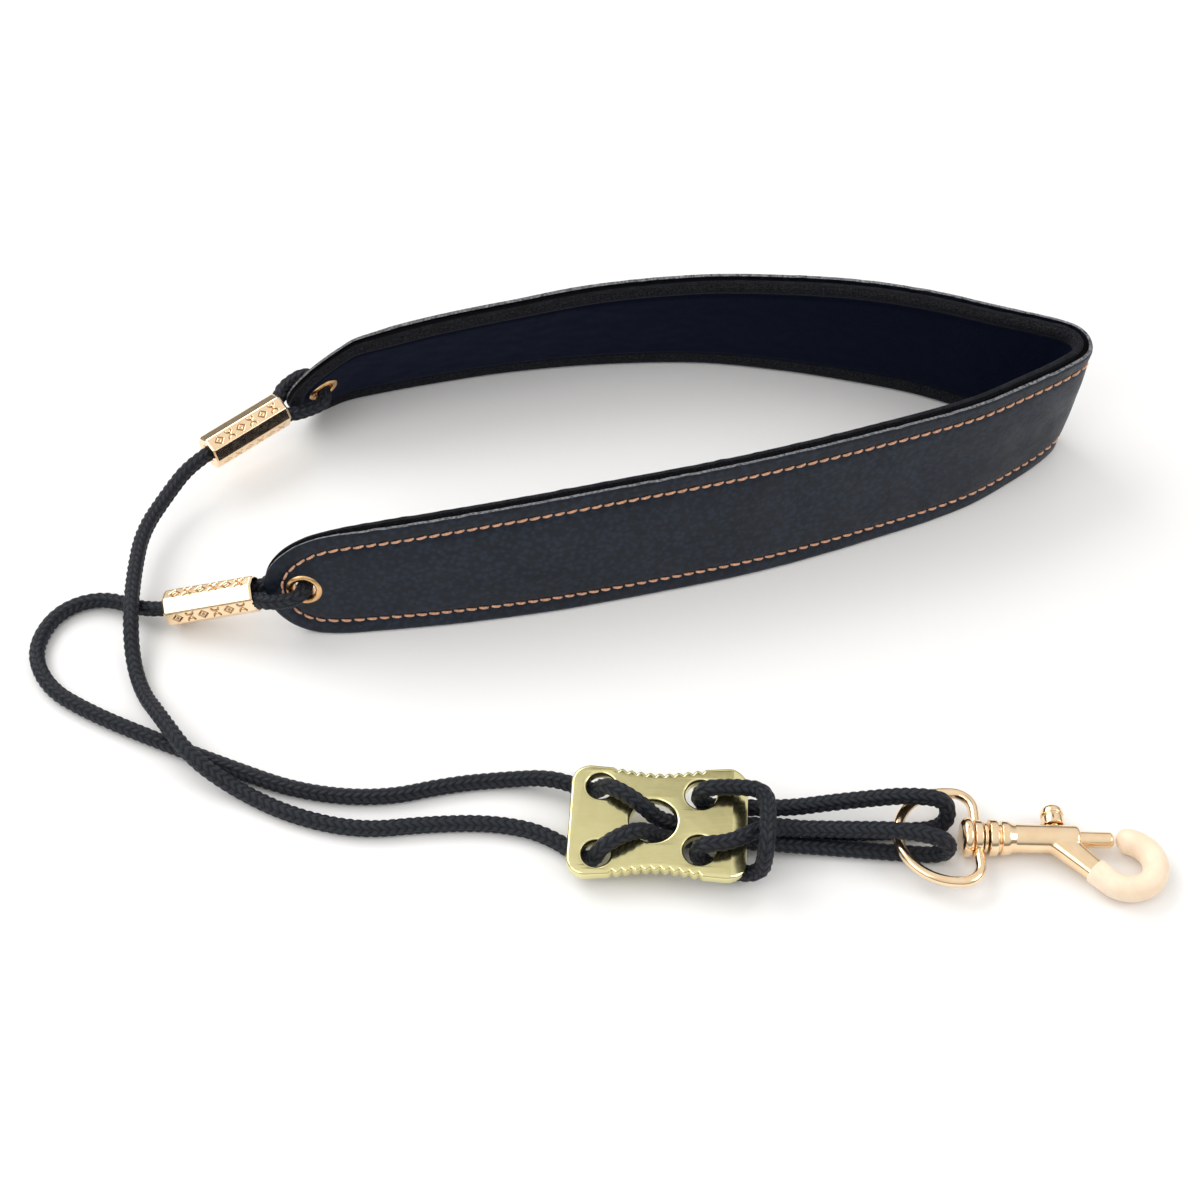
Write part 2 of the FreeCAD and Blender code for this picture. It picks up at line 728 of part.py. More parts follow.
shank_r = size("shank_dia") / 2
head_r = size("head_dia") / 2
head = size("head_thick")
SHANK_END = 11.0
stud = new_body("swivel_stud")
revolve(stud, "stud_turned", [
    (0.0, 0.0), (0.0, head_r - 1.3), (0.4, head_r - 0.5), (1.0, head_r), (head - 0.5, head_r),
    (head, head_r - 0.4), (head, shank_r), (SHANK_END, shank_r), (SHANK_END, 0.0),
])
keep(stud, "swivel_stud", HOOK_FRAME)

washer = new_body("swivel_washer")
washer_r = size("washer_dia") / 2
washer_start = RING_BAR_X + size("ring_wire_dia") / 2 + WASHER_GAP
washer_end = washer_start + size("washer_thick")
revolve(washer, "washer_turned", [
    (washer_start, bore_r), (washer_start, washer_r - WASHER_EDGE),
    (washer_start + WASHER_EDGE, washer_r), (washer_end - WASHER_EDGE, washer_r),
    (washer_end, washer_r - WASHER_EDGE), (washer_end, bore_r),
])
keep(washer, "swivel_washer", HOOK_FRAME)

# ---------------------------------------------------------------- snap hook

neck = size("neck_start")
barrel_start = size("barrel_start")
barrel_end = size("barrel_end")
flange_r = size("flange_dia") / 2
barrel_r = size("barrel_dia") / 2
bolt_r = size("bolt_dia") / 2
bolt_bore_r = bolt_r + size("running_gap")

HOOK_R = size("hook_radius")
HOOK_CENTRE = (39.2, -7.1)
ARM_ROOT = (24.6, -1.8)
HOOK_TIP_ANGLE = 461.0
CORE_SET_BACK = 14.0
CORE_CLEARANCE = 0.02
ARM_HALF_HEIGHT = 3.0
ARM_HALF_WIDTH = 2.5


def arm_tangent():
    """Angle on the hook's circle where the straight arm meets it."""
    dx = ARM_ROOT[0] - HOOK_CENTRE[0]
    dy = ARM_ROOT[1] - HOOK_CENTRE[1]
    away = math.degrees(math.atan2(dy, dx)) % 360
    spread = math.degrees(math.acos(HOOK_R / math.hypot(dx, dy)))
    return away + spread


TANGENT_ANGLE = arm_tangent()
TANGENT = (HOOK_CENTRE[0] + HOOK_R * math.cos(math.radians(TANGENT_ANGLE)),
           HOOK_CENTRE[1] + HOOK_R * math.sin(math.radians(TANGENT_ANGLE)))
ARM_LENGTH = math.hypot(TANGENT[0] - ARM_ROOT[0], TANGENT[1] - ARM_ROOT[1])
ARM_ANGLE = math.degrees(math.atan2(TANGENT[1] - ARM_ROOT[1], TANGENT[0] - ARM_ROOT[0]))
COVER_SET_BACK = 4.2
CORE_OVERLAP = 0.5


def arm_point(distance):
    share = distance / ARM_LENGTH
    return (ARM_ROOT[0] + (TANGENT[0] - ARM_ROOT[0]) * share,
            ARM_ROOT[1] + (TANGENT[1] - ARM_ROOT[1]) * share)


def across_arm(distance):
    """Attachment offset on the XY plane that turns a sketch square to the arm."""
    x, y = arm_point(distance)
    turn = Rotation(Vector(0, 0, 1), ARM_ANGLE).multiply(
        Rotation(Vector(1, 0, 0), 90)).multiply(Rotation(Vector(0, 1, 0), 90))
    return Placement(Vector(x, y, 0), turn)


def hook_spine(start, end_angle):
    """Straight stretch of the arm and the hook's round end, as one wire."""
    x, y = arm_point(start)
    line = Part.LineSegment(Vector(x, y, 0), Vector(TANGENT[0], TANGENT[1], 0)).toShape()
    circle = Part.Circle(Vector(HOOK_CENTRE[0], HOOK_CENTRE[1], 0), Vector(0, 0, 1), HOOK_R)
    arc = Part.ArcOfCircle(circle, math.radians(TANGENT_ANGLE), math.radians(end_angle)).toShape()
    return Part.Wire([line, arc])


def hook_rod(start, end_angle, radius):
    """A round rod along the hook's spine."""
    x, y = arm_point(start)
    direction = Vector(math.cos(math.radians(ARM_ANGLE)), math.sin(math.radians(ARM_ANGLE)), 0)
    section = Part.Wire(Part.Circle(Vector(x, y, 0), direction, radius).toShape())
    return hook_spine(start, end_angle).makePipeShell([section], True, True)


hook = new_body("hook_blank")
revolve(hook, "hook_turned", [
    (neck, shank_r), (neck, flange_r - 0.4), (neck + 0.4, flange_r), (neck + 1.9, flange_r),
    (neck + 2.3, flange_r - 0.4), (neck + 2.5, flange_r - 1.0), (neck + 2.9, flange_r - 1.0),
    (neck + 3.1, flange_r - 0.4), (neck + 4.9, flange_r - 0.5), (neck + 5.5, barrel_r + 0.1),
    (barrel_start, barrel_r), (barrel_end - 0.5, barrel_r), (barrel_end, barrel_r - 0.5),
    (barrel_end, 0.0), (SHANK_END, 0.0), (SHANK_END, shank_r),
])
arm_section = new_sketch(hook, "arm_section", "XY_Plane", across_arm(0.0))
arm_section.addGeometry(Part.Ellipse(Vector(0, 0, 0), ARM_HALF_HEIGHT, ARM_HALF_WIDTH), False)
arm_pad = hook.newObject("PartDesign::Pad", "hook_arm")
arm_pad.Profile = arm_section
arm_pad.Length = ARM_LENGTH - COVER_SET_BACK
doc.recompute()
solid_hook = hook.Tip.Shape.Volume
bore_end = size("bolt_end")
revolve(hook, "bolt_bore", [
    (size("bore_start"), 0.0), (size("bore_start"), bolt_bore_r),
    (bore_end, bolt_bore_r), (bore_end, 0.0),
], groove=True)
SLOT_GAP = 0.15
SLOT_DEPTH = 6.0
slot_sketch = new_sketch(hook, "knob_slot_outline", "XZ_Plane")
slot_half = size("knob_stem_dia") / 2 + SLOT_GAP
slot_start = size("knob_place") - size("bolt_travel")
slot_end = size("knob_place")
sketch_line(slot_sketch, (slot_start, slot_half), (slot_end, slot_half))
sketch_arc(slot_sketch, (slot_end, 0), slot_half, -90, 90)
sketch_line(slot_sketch, (slot_end, -slot_half), (slot_start, -slot_half))
sketch_arc(slot_sketch, (slot_start, 0), slot_half, 90, 270)
doc.recompute()
before_slot = hook.Tip.Shape.Volume
slot = hook.newObject("PartDesign::Pocket", "knob_slot")
slot.Profile = slot_sketch
slot.Length = SLOT_DEPTH
slot.Reversed = False
doc.recompute()
slot_volume = before_slot - hook.Tip.Shape.Volume
if min(solid_hook - before_slot, slot_volume) < LEAST_CUT:
    raise RuntimeError("the hook's bore or slot is not cut")
core_part = doc.addObject("Part::Feature", "hook_core_rod")
core_part.Shape = hook_rod(ARM_LENGTH - COVER_SET_BACK - CORE_OVERLAP,
                           HOOK_TIP_ANGLE - CORE_SET_BACK, size("hook_core_dia") / 2)
hook_fused = doc.addObject("Part::Fuse", "hook_body_whole")
hook_fused.Base = hook
hook_fused.Tool = core_part
doc.recompute()
keep(hook_fused, "hook_body", HOOK_FRAME)

cover_r = size("cover_dia") / 2
cover_outer = hook_rod(ARM_LENGTH - COVER_SET_BACK, HOOK_TIP_ANGLE, cover_r)
cover_core = hook_rod(ARM_LENGTH - COVER_SET_BACK, HOOK_TIP_ANGLE - CORE_SET_BACK,
                      size("hook_core_dia") / 2 + CORE_CLEARANCE)
shape_part("hook_cover", cover_outer.cut(cover_core), HOOK_FRAME)

# ---------------------------------------------------------------- bolt, knob and spring

bolt = new_body("snap_bolt")
bolt_start = size("bolt_start")
bolt_end = size("bolt_end")
SPRING_SEAT = 1.2
SEAT_R = 1.0
BOLT_EDGE = 0.5
revolve(bolt, "bolt_turned", [
    (bolt_start, 0.0), (bolt_start, SEAT_R), (bolt_start + SPRING_SEAT, SEAT_R),
    (bolt_start + SPRING_SEAT, bolt_r), (bolt_end - BOLT_EDGE, bolt_r),
    (bolt_end, bolt_r - BOLT_EDGE), (bolt_end, 0.0),
])
stem_sketch = new_sketch(bolt, "stem_hole", "XZ_Plane")
add_circle(stem_sketch, size("knob_place"), 0, "sizes.knob_stem_dia")
stem_hole = bolt.newObject("PartDesign::Pocket", "stem_bore")
stem_hole.Profile = stem_sketch
stem_hole.Type = "ThroughAll"
doc.recompute()
keep(bolt, "snap_bolt", HOOK_FRAME)

STEM_GAP = 0.01
knob = new_body("thumb_knob")
stem_r = size("knob_stem_dia") / 2 - STEM_GAP
cap_r = size("knob_cap_dia") / 2
KNOB_REST = barrel_r + 0.25
revolve(knob, "knob_turned", [
    (0.2, 0.0), (0.2, stem_r), (KNOB_REST, stem_r), (KNOB_REST, cap_r - 0.6),
    (KNOB_REST + 1.2, cap_r - 0.9), (KNOB_REST + 2.4, cap_r - 0.5), (KNOB_REST + 2.9, cap_r),
    (KNOB_REST + 3.9, cap_r), (KNOB_REST + 4.9, cap_r - 0.6), (KNOB_REST + 5.7, cap_r - 1.6),
    (KNOB_REST + 6.0, 0.0),
])
knob_turn = Placement(Vector(size("knob_place"), 0, 0), Rotation(Vector(0, 0, 1), 90))
keep(knob, "thumb_knob", HOOK_FRAME.multiply(knob_turn))

SPRING_GAP = 0.1
wire_r = size("spring_wire") / 2
spring_start = size("bore_start") + wire_r + SPRING_GAP
spring_length = bolt_start + SPRING_SEAT - spring_start - wire_r - SPRING_GAP
spring_r = size("spring_dia") / 2 - wire_r
helix = Part.makeHelix(spring_length / size("spring_turns"), spring_length, spring_r)
wire_circle = Part.Wire(Part.Circle(Vector(spring_r, 0, 0), Vector(0, 1, 0), wire_r).toShape())
coil = Part.Wire(helix.Edges).makePipeShell([wire_circle], True, True)
lay_along = Placement(Vector(spring_start, 0, 0), Rotation(Vector(0, 1, 0), 90))
shape_part("bolt_spring", coil, HOOK_FRAME.multiply(lay_along))

# ---------------------------------------------------------------- checks and export

doc.recompute()
for obj in doc.Objects:
    if "Invalid" in obj.State or "Error" in obj.State:
        raise RuntimeError("%s failed: %s" % (obj.Label, obj.State))
for label, (length, radius, share) in CORD_FACTS.items():
    print("%-22s length %6.1f  tightest radius %5.1f  volume share %.4f"
          % (label, length, radius, share))
whole = FreeCAD.BoundBox()
for obj in SUBPARTS:
    shape = obj.Shape
    if shape.isNull() or not shape.isValid():
        raise RuntimeError("%s has no valid shape" % obj.Label)
    whole.add(shape.BoundBox)
    shape.exportStep("parts/%s.step" % obj.Label)
print("%d sub-parts" % len(SUBPARTS))
print("box x %.2f %.2f  y %.2f %.2f  z %.2f %.2f"
      % (whole.XMin, whole.XMax, whole.YMin, whole.YMax, whole.ZMin, whole.ZMax))
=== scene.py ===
import bpy
import bmesh
import math
import random
import numpy as np
from contextlib import contextmanager
from mathutils import Matrix, Vector, noise as soft_noise
from mathutils.kdtree import KDTree


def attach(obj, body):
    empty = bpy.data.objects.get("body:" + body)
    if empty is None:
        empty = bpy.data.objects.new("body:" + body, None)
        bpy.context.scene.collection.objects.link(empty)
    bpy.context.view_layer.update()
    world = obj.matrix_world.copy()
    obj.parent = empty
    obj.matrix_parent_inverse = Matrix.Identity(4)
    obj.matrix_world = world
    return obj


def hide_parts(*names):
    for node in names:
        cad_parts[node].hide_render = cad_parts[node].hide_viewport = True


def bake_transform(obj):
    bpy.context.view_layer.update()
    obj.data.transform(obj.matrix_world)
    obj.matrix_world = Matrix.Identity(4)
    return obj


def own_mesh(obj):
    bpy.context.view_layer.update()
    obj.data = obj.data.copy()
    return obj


# Looks of the neck strap. Everything is laid out in millimetres on the same table as the CAD
# model and turned into metres as it becomes a mesh.

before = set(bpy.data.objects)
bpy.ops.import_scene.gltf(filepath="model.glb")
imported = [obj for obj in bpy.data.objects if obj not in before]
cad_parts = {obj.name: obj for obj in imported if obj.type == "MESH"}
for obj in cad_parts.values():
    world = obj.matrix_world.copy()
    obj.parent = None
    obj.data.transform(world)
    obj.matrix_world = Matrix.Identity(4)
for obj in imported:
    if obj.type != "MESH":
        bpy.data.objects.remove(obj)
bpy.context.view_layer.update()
random.seed(7)
rng = np.random.default_rng(7)

MM = 0.001
TO_ORIGIN = Vector((0.8, -3.2, 0.0))
TABLE = Matrix.Translation(TO_ORIGIN)
SCENE = bpy.context.scene
SCENE.view_settings.view_transform = "Standard"


# -------- small tools

def in_scene(place):
    """A point of the table in metres in the shared frame."""
    return tuple((Vector(place) + TO_ORIGIN) * MM)


def add_object(name, data):
    obj = bpy.data.objects.new(name, data)
    SCENE.collection.objects.link(obj)
    return obj


def add_mesh(name, points, faces, material, place=TABLE):
    """A smooth mesh object from points in millimetres in the frame that place gives."""
    points = np.asarray(points, float).reshape(-1, 3)
    matrix = np.array(place, float)
    mesh = bpy.data.meshes.new(name)
    mesh.from_pydata(((points @ matrix[:3, :3].T + matrix[:3, 3]) * MM).tolist(), [], faces)
    mesh.update()
    mesh.materials.append(material)
    mesh.shade_smooth()
    return add_object(name, mesh)


def grid_faces(rows, columns, close_columns=True, close_rows=False):
    """Quads over points stored row by row; each row is a ring unless it is left open."""
    faces = []
    for i in range(rows if close_rows else rows - 1):
        here, beyond = i * columns, (i + 1) % rows * columns
        for j in range(columns if close_columns else columns - 1):
            k = (j + 1) % columns
            faces.append((here + j, here + k, beyond + k, beyond + j))
    return faces


def end_faces(rows, columns):
    """The two faces that close a tube of points stored ring by ring."""
    last = (rows - 1) * columns
    return [tuple(range(columns))[::-1], tuple(range(last, last + columns))]


def circle(around):
    return np.linspace(0, 2 * math.pi, around, endpoint=False)


def rings(points, sides, ups, across, upward):
    """Points round a line, from their offsets across and upward at every point of it."""
    return (points[:, None] + sides[:, None] * across[..., None]
            + ups[:, None] * upward[..., None])


def turned(x, radius, around):
    """Rings of points round the local X axis; the radius may change round each ring."""
    radius = np.broadcast_to(radius, (len(x), around))
    along = np.broadcast_to(x[:, None], radius.shape)
    angles = circle(around)
    return np.stack([along, radius * np.cos(angles), radius * np.sin(angles)], axis=-1)


def hump(x, centre, width):
    return np.exp(-((x - centre) / width) ** 2)


def travelled(points):
    """Distance along a line at each of its points."""
    steps = np.linalg.norm(np.diff(points, axis=0), axis=1)
    return np.concatenate([[0.0], np.cumsum(steps)])


def at_distance(distance, travel, points):
    """Points of a line at given distances along it."""
    return np.stack([np.interp(distance, travel, axis) for axis in points.T], axis=-1)


def put(obj, body, node=None):
    """Let a piece ride on a body, if one is given, and stand for a CAD node."""
    if body:
        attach(obj, body)
    if node:
        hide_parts(node)
    return obj


def made_mesh(obj):
    """The mesh that an object's modifiers or curve settings make."""
    bpy.context.view_layer.update()
    graph = bpy.context.evaluated_depsgraph_get()
    return bpy.data.meshes.new_from_object(obj.evaluated_get(graph))


def apply_modifiers(obj):
    """Turn what the modifiers make into the object's own mesh."""
    mesh = made_mesh(obj)
    old = obj.data
    obj.modifiers.clear()
    obj.data = mesh
    bpy.data.meshes.remove(old)
    mesh.name = obj.name


def cut(obj, cutter):
    """Take one mesh out of another."""
    modifier = obj.modifiers.new("cut", "BOOLEAN")
    modifier.operation = "DIFFERENCE"
    modifier.solver = "EXACT"
    modifier.object = cutter
    apply_modifiers(obj)
    bpy.data.objects.remove(cutter)


def joined(name, objects):
    """Several mesh objects as one."""
    with bpy.context.temp_override(active_object=objects[0], object=objects[0],
                                   selected_objects=objects, selected_editable_objects=objects):
        bpy.ops.object.join()
    objects[0].name = objects[0].data.name = name
    return objects[0]


@contextmanager
def edited(obj):
    """An object's mesh opened for editing and written back."""
    bm = bmesh.new()
    bm.from_mesh(obj.data)
    yield bm
    bm.to_mesh(obj.data)
    bm.free()


def tidy(obj, sharp=None):
    """Merge doubled points, face outwards, and keep edges sharp above an angle."""
    with edited(obj) as bm:
        bmesh.ops.remove_doubles(bm, verts=bm.verts, dist=1e-7)
        bmesh.ops.recalc_face_normals(bm, faces=bm.faces)
    if sharp:
        obj.data.set_sharp_from_angle(angle=math.radians(sharp))
    return obj


def set_attribute(obj, name, values):
    layer = obj.data.attributes.new(name, "FLOAT", "POINT")
    layer.data.foreach_set("value", np.asarray(values, np.float32).ravel())


def eased_profile(corners, steps=4):
    """A profile of (along, radius) with each corner (along, radius, easing) rounded off."""
    points = []
    for i, (x, r, ease) in enumerate(corners):
        if ease <= 0 or i in (0, len(corners) - 1):
            points.append((x, r))
            continue
        here = Vector((x, r))
        before = Vector(corners[i - 1][:2]) - here
        after = Vector(corners[i + 1][:2]) - here
        reach = min(ease, before.length * 0.48, after.length * 0.48)
        start = here + before.normalized() * reach
        end = here + after.normalized() * reach
        for k in range(steps + 1):
            t = k / steps
            points.append(tuple(start * (1 - t) ** 2 + here * (2 * t * (1 - t)) + end * t ** 2))
    return np.array(points)


def lathe(name, corners, material, place, around=72):
    """A turned piece round the local X axis."""
    profile = eased_profile(corners)
    return tidy(add_mesh(name, turned(profile[:, 0], profile[:, 1:], around),
                         grid_faces(len(profile), around), material, place))


def sweep_frames(points):
    """Side and up at each point of a line, carried along it without twisting."""
    tangents = np.gradient(points, axis=0)
    tangents /= np.linalg.norm(tangents, axis=1)[:, None]
    side = np.cross(tangents[0], (0.0, 0.0, 1.0))
    side /= np.linalg.norm(side)
    sides = np.empty_like(points)
    for i, tangent in enumerate(tangents):
        side = side - tangent * side.dot(tangent)
        side = side / np.linalg.norm(side)
        sides[i] = side
    return sides, np.cross(tangents, sides)


# -------- materials

class Nodes:
    """Short ways to add shader nodes to a tree; an input is a value or another's output."""

    def __init__(self, tree):
        self.tree = tree

    def give(self, node, inputs):
        for name, value in inputs.items():
            if isinstance(value, bpy.types.NodeSocket):
                self.tree.links.new(value, node.inputs[name])
            else:
                node.inputs[name].default_value = value

    def add(self, kind, output, inputs, **settings):
        node = self.tree.nodes.new("ShaderNode" + kind)
        for name, value in settings.items():
            setattr(node, name, value)
        self.give(node, inputs)
        return node.outputs[output]

    def attribute(self, name):
        return self.add("Attribute", "Fac", {}, attribute_name=name)

    def noise(self, scale, detail=4.0, rough=0.55, stretch=None):
        """A noise texture in object space; scale is in features per metre."""
        where = self.add("TexCoord", "Object", {})
        if stretch:
            where = self.add("Mapping", "Vector", {"Vector": where, "Scale": stretch})
        return self.add("TexNoise", "Fac", {"Vector": where, "Scale": scale, "Detail": detail,
                                            "Roughness": rough})

    def share(self, value, low, high):
        """How far a value has come from low to high."""
        return self.add("MapRange", "Result", {"Value": value, "From Min": low,
                                               "From Max": high})

    def mix(self, factor, one, other, blend="MIX"):
        return self.add("Mix", "Result", {"Factor": factor, "A": one, "B": other},
                        data_type="RGBA", blend_type=blend)

    def stops(self, source, stops):
        """Colours, or greys, blended between their places along a value's range."""
        node = self.tree.nodes.new("ShaderNodeValToRGB")
        elements = node.color_ramp.elements
        elements[0].position = stops[0][0]
        elements[1].position = stops[-1][0]
        for place, _ in stops[1:-1]:
            elements.new(place)
        for element, (_, value) in zip(elements, stops):
            element.color = (value, value, value, 1) if isinstance(value, float) else (*value, 1)
        self.give(node, {"Fac": source})
        return node.outputs["Color"]

    def ramp(self, source, low, high, start=0.3, end=0.7):
        return self.stops(source, [(start, low), (end, high)])

    def bump(self, source, distance, strength, before=None):
        inputs = {"Height": source, "Distance": distance, "Strength": strength}
        if before:
            inputs["Normal"] = before
        return self.add("Bump", "Normal", inputs)


class Look(Nodes):
    """A new procedural material."""

    def __init__(self, name):
        self.material = bpy.data.materials.new(name)
        self.material.use_nodes = True
        super().__init__(self.material.node_tree)

    def done(self, inputs):
        self.give(self.tree.nodes["Principled BSDF"], inputs)
        return self.material


def metal(name, colour, dark, roughness, hollow_shade=(0.2, 0.1, 0.04)):
    """Polished plate with faint tarnish, uneven polish, hairlines and painted shade, a darker
    brown, in the engraved hollows.
    """
    look = Look(name)
    cloud = look.ramp(look.noise(260.0, 3.0), dark, colour, 0.25, 0.6)
    hairline = look.noise(900.0, 6.0, 0.7, (0.12, 1.0, 1.0))
    return look.done({
        "Metallic": 1.0,
        # Painted shade: a darker brown where the hollow attribute marks the engraving.
        "Base Color": look.mix(look.attribute("hollow"), cloud, (*hollow_shade, 1)),
        "Roughness": look.ramp(look.noise(700.0, 5.0), roughness, roughness + 0.06, 0.35, 0.75),
        "Normal": look.bump(hairline, 0.00002, 0.25),
    })


def leather_material():
    """Navy-black leather: small pebbles with painted shade in their valleys and painted light on
    their tops, finer creases and a soft uneven gloss.
    """
    look = Look("leather_navy")
    where = look.add("TexCoord", "Object", {})
    bend = look.add("TexNoise", "Color", {"Vector": where, "Scale": 330.0})
    bent = look.add("VectorMath", "Vector", {0: bend, 1: (0.0012, 0.0012, 0.0012), 2: where},
                    operation="MULTIPLY_ADD")
    pebble = look.add("TexVoronoi", "Distance",
                      {"Vector": bent, "Scale": 640.0, "Smoothness": 0.6}, feature="SMOOTH_F1")
    body = look.ramp(look.noise(45.0, 5.0), (0.006, 0.0095, 0.019), (0.0115, 0.017, 0.032))
    # Painted shade and light: the colour darkens in the valleys between pebbles and lightens on
    # their tops.
    pebble_shading = look.ramp(pebble, 1.15, 0.45, 0.25, 0.6)
    crease = look.noise(260.0, 7.0, 0.75)
    return look.done({
        "Base Color": look.mix(1.0, body, pebble_shading, "MULTIPLY"),
        "Normal": look.bump(crease, 0.0006, 0.5, look.bump(pebble, 0.0011, -1.0)),
        "Roughness": look.ramp(look.noise(130.0), 0.36, 0.52),
        "Specular IOR Level": 0.33,
        "Specular Tint": (0.86, 0.93, 1.0, 1),
    })


def cloth_material(name, low, high, scale, sheen, tint, height):
    """Brushed or napped cloth: short uneven pile with a soft bloom at its edges."""
    look = Look(name)
    nap = look.noise(scale, 6.0, 0.7)
    return look.done({
        "Base Color": look.ramp(nap, low, high, 0.35, 0.7),
        "Normal": look.bump(nap, height, 0.8),
        "Roughness": 0.9,
        "Sheen Weight": sheen,
        "Sheen Roughness": 0.45,
        "Sheen Tint": (*tint, 1),
        "Specular IOR Level": 0.12,
    })


def lining_material():
    """Dark velvet with a charcoal felt margin where it is turned over the pad's edge."""
    look = Look("lining_velvet")
    nap = look.noise(2300.0, 6.0, 0.7)
    velvet = look.ramp(nap, (0.0012, 0.0026, 0.0095), (0.0036, 0.0068, 0.0205), 0.35, 0.7)
    felt = look.ramp(nap, (0.0045, 0.0048, 0.0062), (0.04, 0.041, 0.047), 0.42, 0.78)
    inside = look.share(look.attribute("depth"), LINING_SEAM - 0.5, LINING_SEAM + 0.3)
    return look.done({
        "Base Color": look.mix(inside, felt, velvet),
        "Normal": look.bump(nap, 0.0002, 0.8),
        "Roughness": 0.9,
        "Sheen Weight": 0.06,
        "Sheen Roughness": 0.4,
        "Sheen Tint": (0.5, 0.6, 1.0, 1),
        "Specular IOR Level": 0.08,
    })


def cord_material():
    """Braided synthetic cord, with painted light and shade: blue-grey painted highlight where the
    strands crest, near-black painted shade in the gaps.
    """
    look = Look("cord_braid")
    # Painted highlight on the strands' crests and painted shade in the gaps between them.
    body = look.ramp(look.attribute("crest"), (0.0005, 0.0009, 0.0022),
                     (0.0105, 0.015, 0.028), 0.15, 0.9)
    fleck = look.ramp(look.noise(5200.0, 4.0, 0.7), 0.45, 1.5, 0.35, 0.75)
    fibres = look.add("Math", "Value", {0: look.attribute("fibre")}, operation="SINE")
    return look.done({
        "Base Color": look.mix(1.0, body, fleck, "MULTIPLY"),
        "Normal": look.bump(fibres, 0.00005, 0.6),
        "Roughness": 0.44,
        "Specular IOR Level": 0.34,
        "Sheen Weight": 0.03,
        "Sheen Tint": (0.55, 0.65, 0.85, 1),
    })


def thread_material():
    """Copper-coloured sewing thread with a twisted lay."""
    look = Look("thread_copper")
    return look.done({
        "Base Color": look.ramp(look.noise(2600.0, 3.0), (0.36, 0.16, 0.085),
                                (0.84, 0.47, 0.3), 0.3, 0.65),
        "Normal": look.bump(look.noise(5200.0, 2.0), 0.00006, 0.6),
        "Roughness": 0.5,
        "Sheen Weight": 0.15,
    })


def cover_material():
    """Cream plastic sleeve on the hook, slightly translucent, with a moulded skin."""
    look = Look("cover_cream")
    return look.done({
        "Base Color": look.ramp(look.noise(180.0), (0.9, 0.7, 0.51), (0.97, 0.82, 0.64)),
        "Normal": look.bump(look.noise(420.0), 0.0001, 0.35),
        "Roughness": look.ramp(look.noise(520.0), 0.32, 0.48),
        "Subsurface Weight": 0.12,
        "Subsurface Radius": (0.004, 0.002, 0.001),
    })


LINING_SEAM = 4.6
LEATHER = leather_material()
LINING = lining_material()
LINING_EDGE = cloth_material("lining_edge", (0.002, 0.0022, 0.003), (0.014, 0.015, 0.019),
                             1900.0, 0.08, (0.8, 0.8, 0.9), 0.0003)
RAW_EDGE = cloth_material("leather_raw_edge", (0.01, 0.011, 0.014), (0.34, 0.345, 0.36),
                          1300.0, 0.15, (0.9, 0.9, 1.0), 0.0004)
FOAM = cloth_material("foam_core", (0.0015, 0.0015, 0.002), (0.006, 0.006, 0.007),
                      2200.0, 0.0, (1.0, 1.0, 1.0), 0.0004)
CORD_LOOK = cord_material()
THREAD = thread_material()
COVER = cover_material()
# The last colour given to the rose gold is the painted shade in the ferrules' engraved hollows.
ROSE_GOLD = metal("rose_gold_plate", (0.97, 0.75, 0.5), (0.94, 0.68, 0.42), 0.12,
                  (0.5, 0.23, 0.06))
PALE_GOLD = metal("pale_gold_plate", (0.82, 0.755, 0.4), (0.79, 0.715, 0.36), 0.15)
EYELET_BRASS = metal("eyelet_brass", (0.86, 0.54, 0.26), (0.7, 0.4, 0.17), 0.22)
STEEL = metal("spring_steel", (0.62, 0.62, 0.62), (0.5, 0.5, 0.5), 0.25)


# -------- layout shared with the CAD

def hermite(table, values, place):
    """Smooth curve through values given at the places in table; its two ends are straight."""
    last = len(table) - 2
    span = max(0, min(last, int(np.searchsorted(table, place, side="right")) - 1))

    def slope(i):
        low, high = i - 1, i + 1
        if i <= 1:
            low, high = 0, 1
        elif i >= last:
            low, high = last, last + 1
        return (values[high] - values[low]) / (table[high] - table[low])

    width = table[span + 1] - table[span]
    t = (place - table[span]) / width
    return (values[span] * (2 * t ** 3 - 3 * t ** 2 + 1)
            + slope(span) * width * (t ** 3 - 2 * t ** 2 + t)
            + values[span + 1] * (3 * t ** 2 - 2 * t ** 3)
            + slope(span + 1) * width * (t ** 3 - t ** 2))


PAD_PATH = [
    (-98.5, -5.2), (-82.5, -5.7), (-68, -4.4), (-50, -2.1), (-26, 2.1), (2, 8.8),
    (30, 16.6), (59, 26.9), (87, 38.6), (103, 48.7), (113.2, 56.3), (117.9, 61.6),
    (117.2, 66.9), (110.2, 71.4), (98, 77), (80, 84.4), (61, 89.4), (40, 92.9),
    (17, 94.8), (-12, 92.8), (-38, 88.2), (-59, 83.2), (-75, 78.4), (-85.6, 73.8),
    (-98.3, 64.2),
]
PAD_LEAN = [
    7, 7, 6, 6, 6, 6, 6, 4, 1, -2, -5, -7, -6, -3, 1, 4, 6, 10, 14, 18, 22, 23, 24, 24, 24,
]
PAD_WIDTH = 38.4
PAD_THICK = 4.5
NOSE_THICK = 3.2
LOWER_NOSE = 15.0
UPPER_NOSE = 22.0
NOSE_TIP = 0.5
NOSE_RISE = 16.0
TAPER_RISE = 6.9
TAPER_LENGTH = 100.0
FLAT_END = 15.4
SWELL_LENGTH = 16.0
FOOT_CLEARANCE = 0.02
EYELET_SET_BACK = 10.0
EYELET_HEIGHT = 15.5

PAD_TABLE = travelled(PAD_PATH)
PAD_LENGTH = PAD_TABLE[-1]
PAD_X = [x for x, _ in PAD_PATH]
PAD_Y = [y for _, y in PAD_PATH]


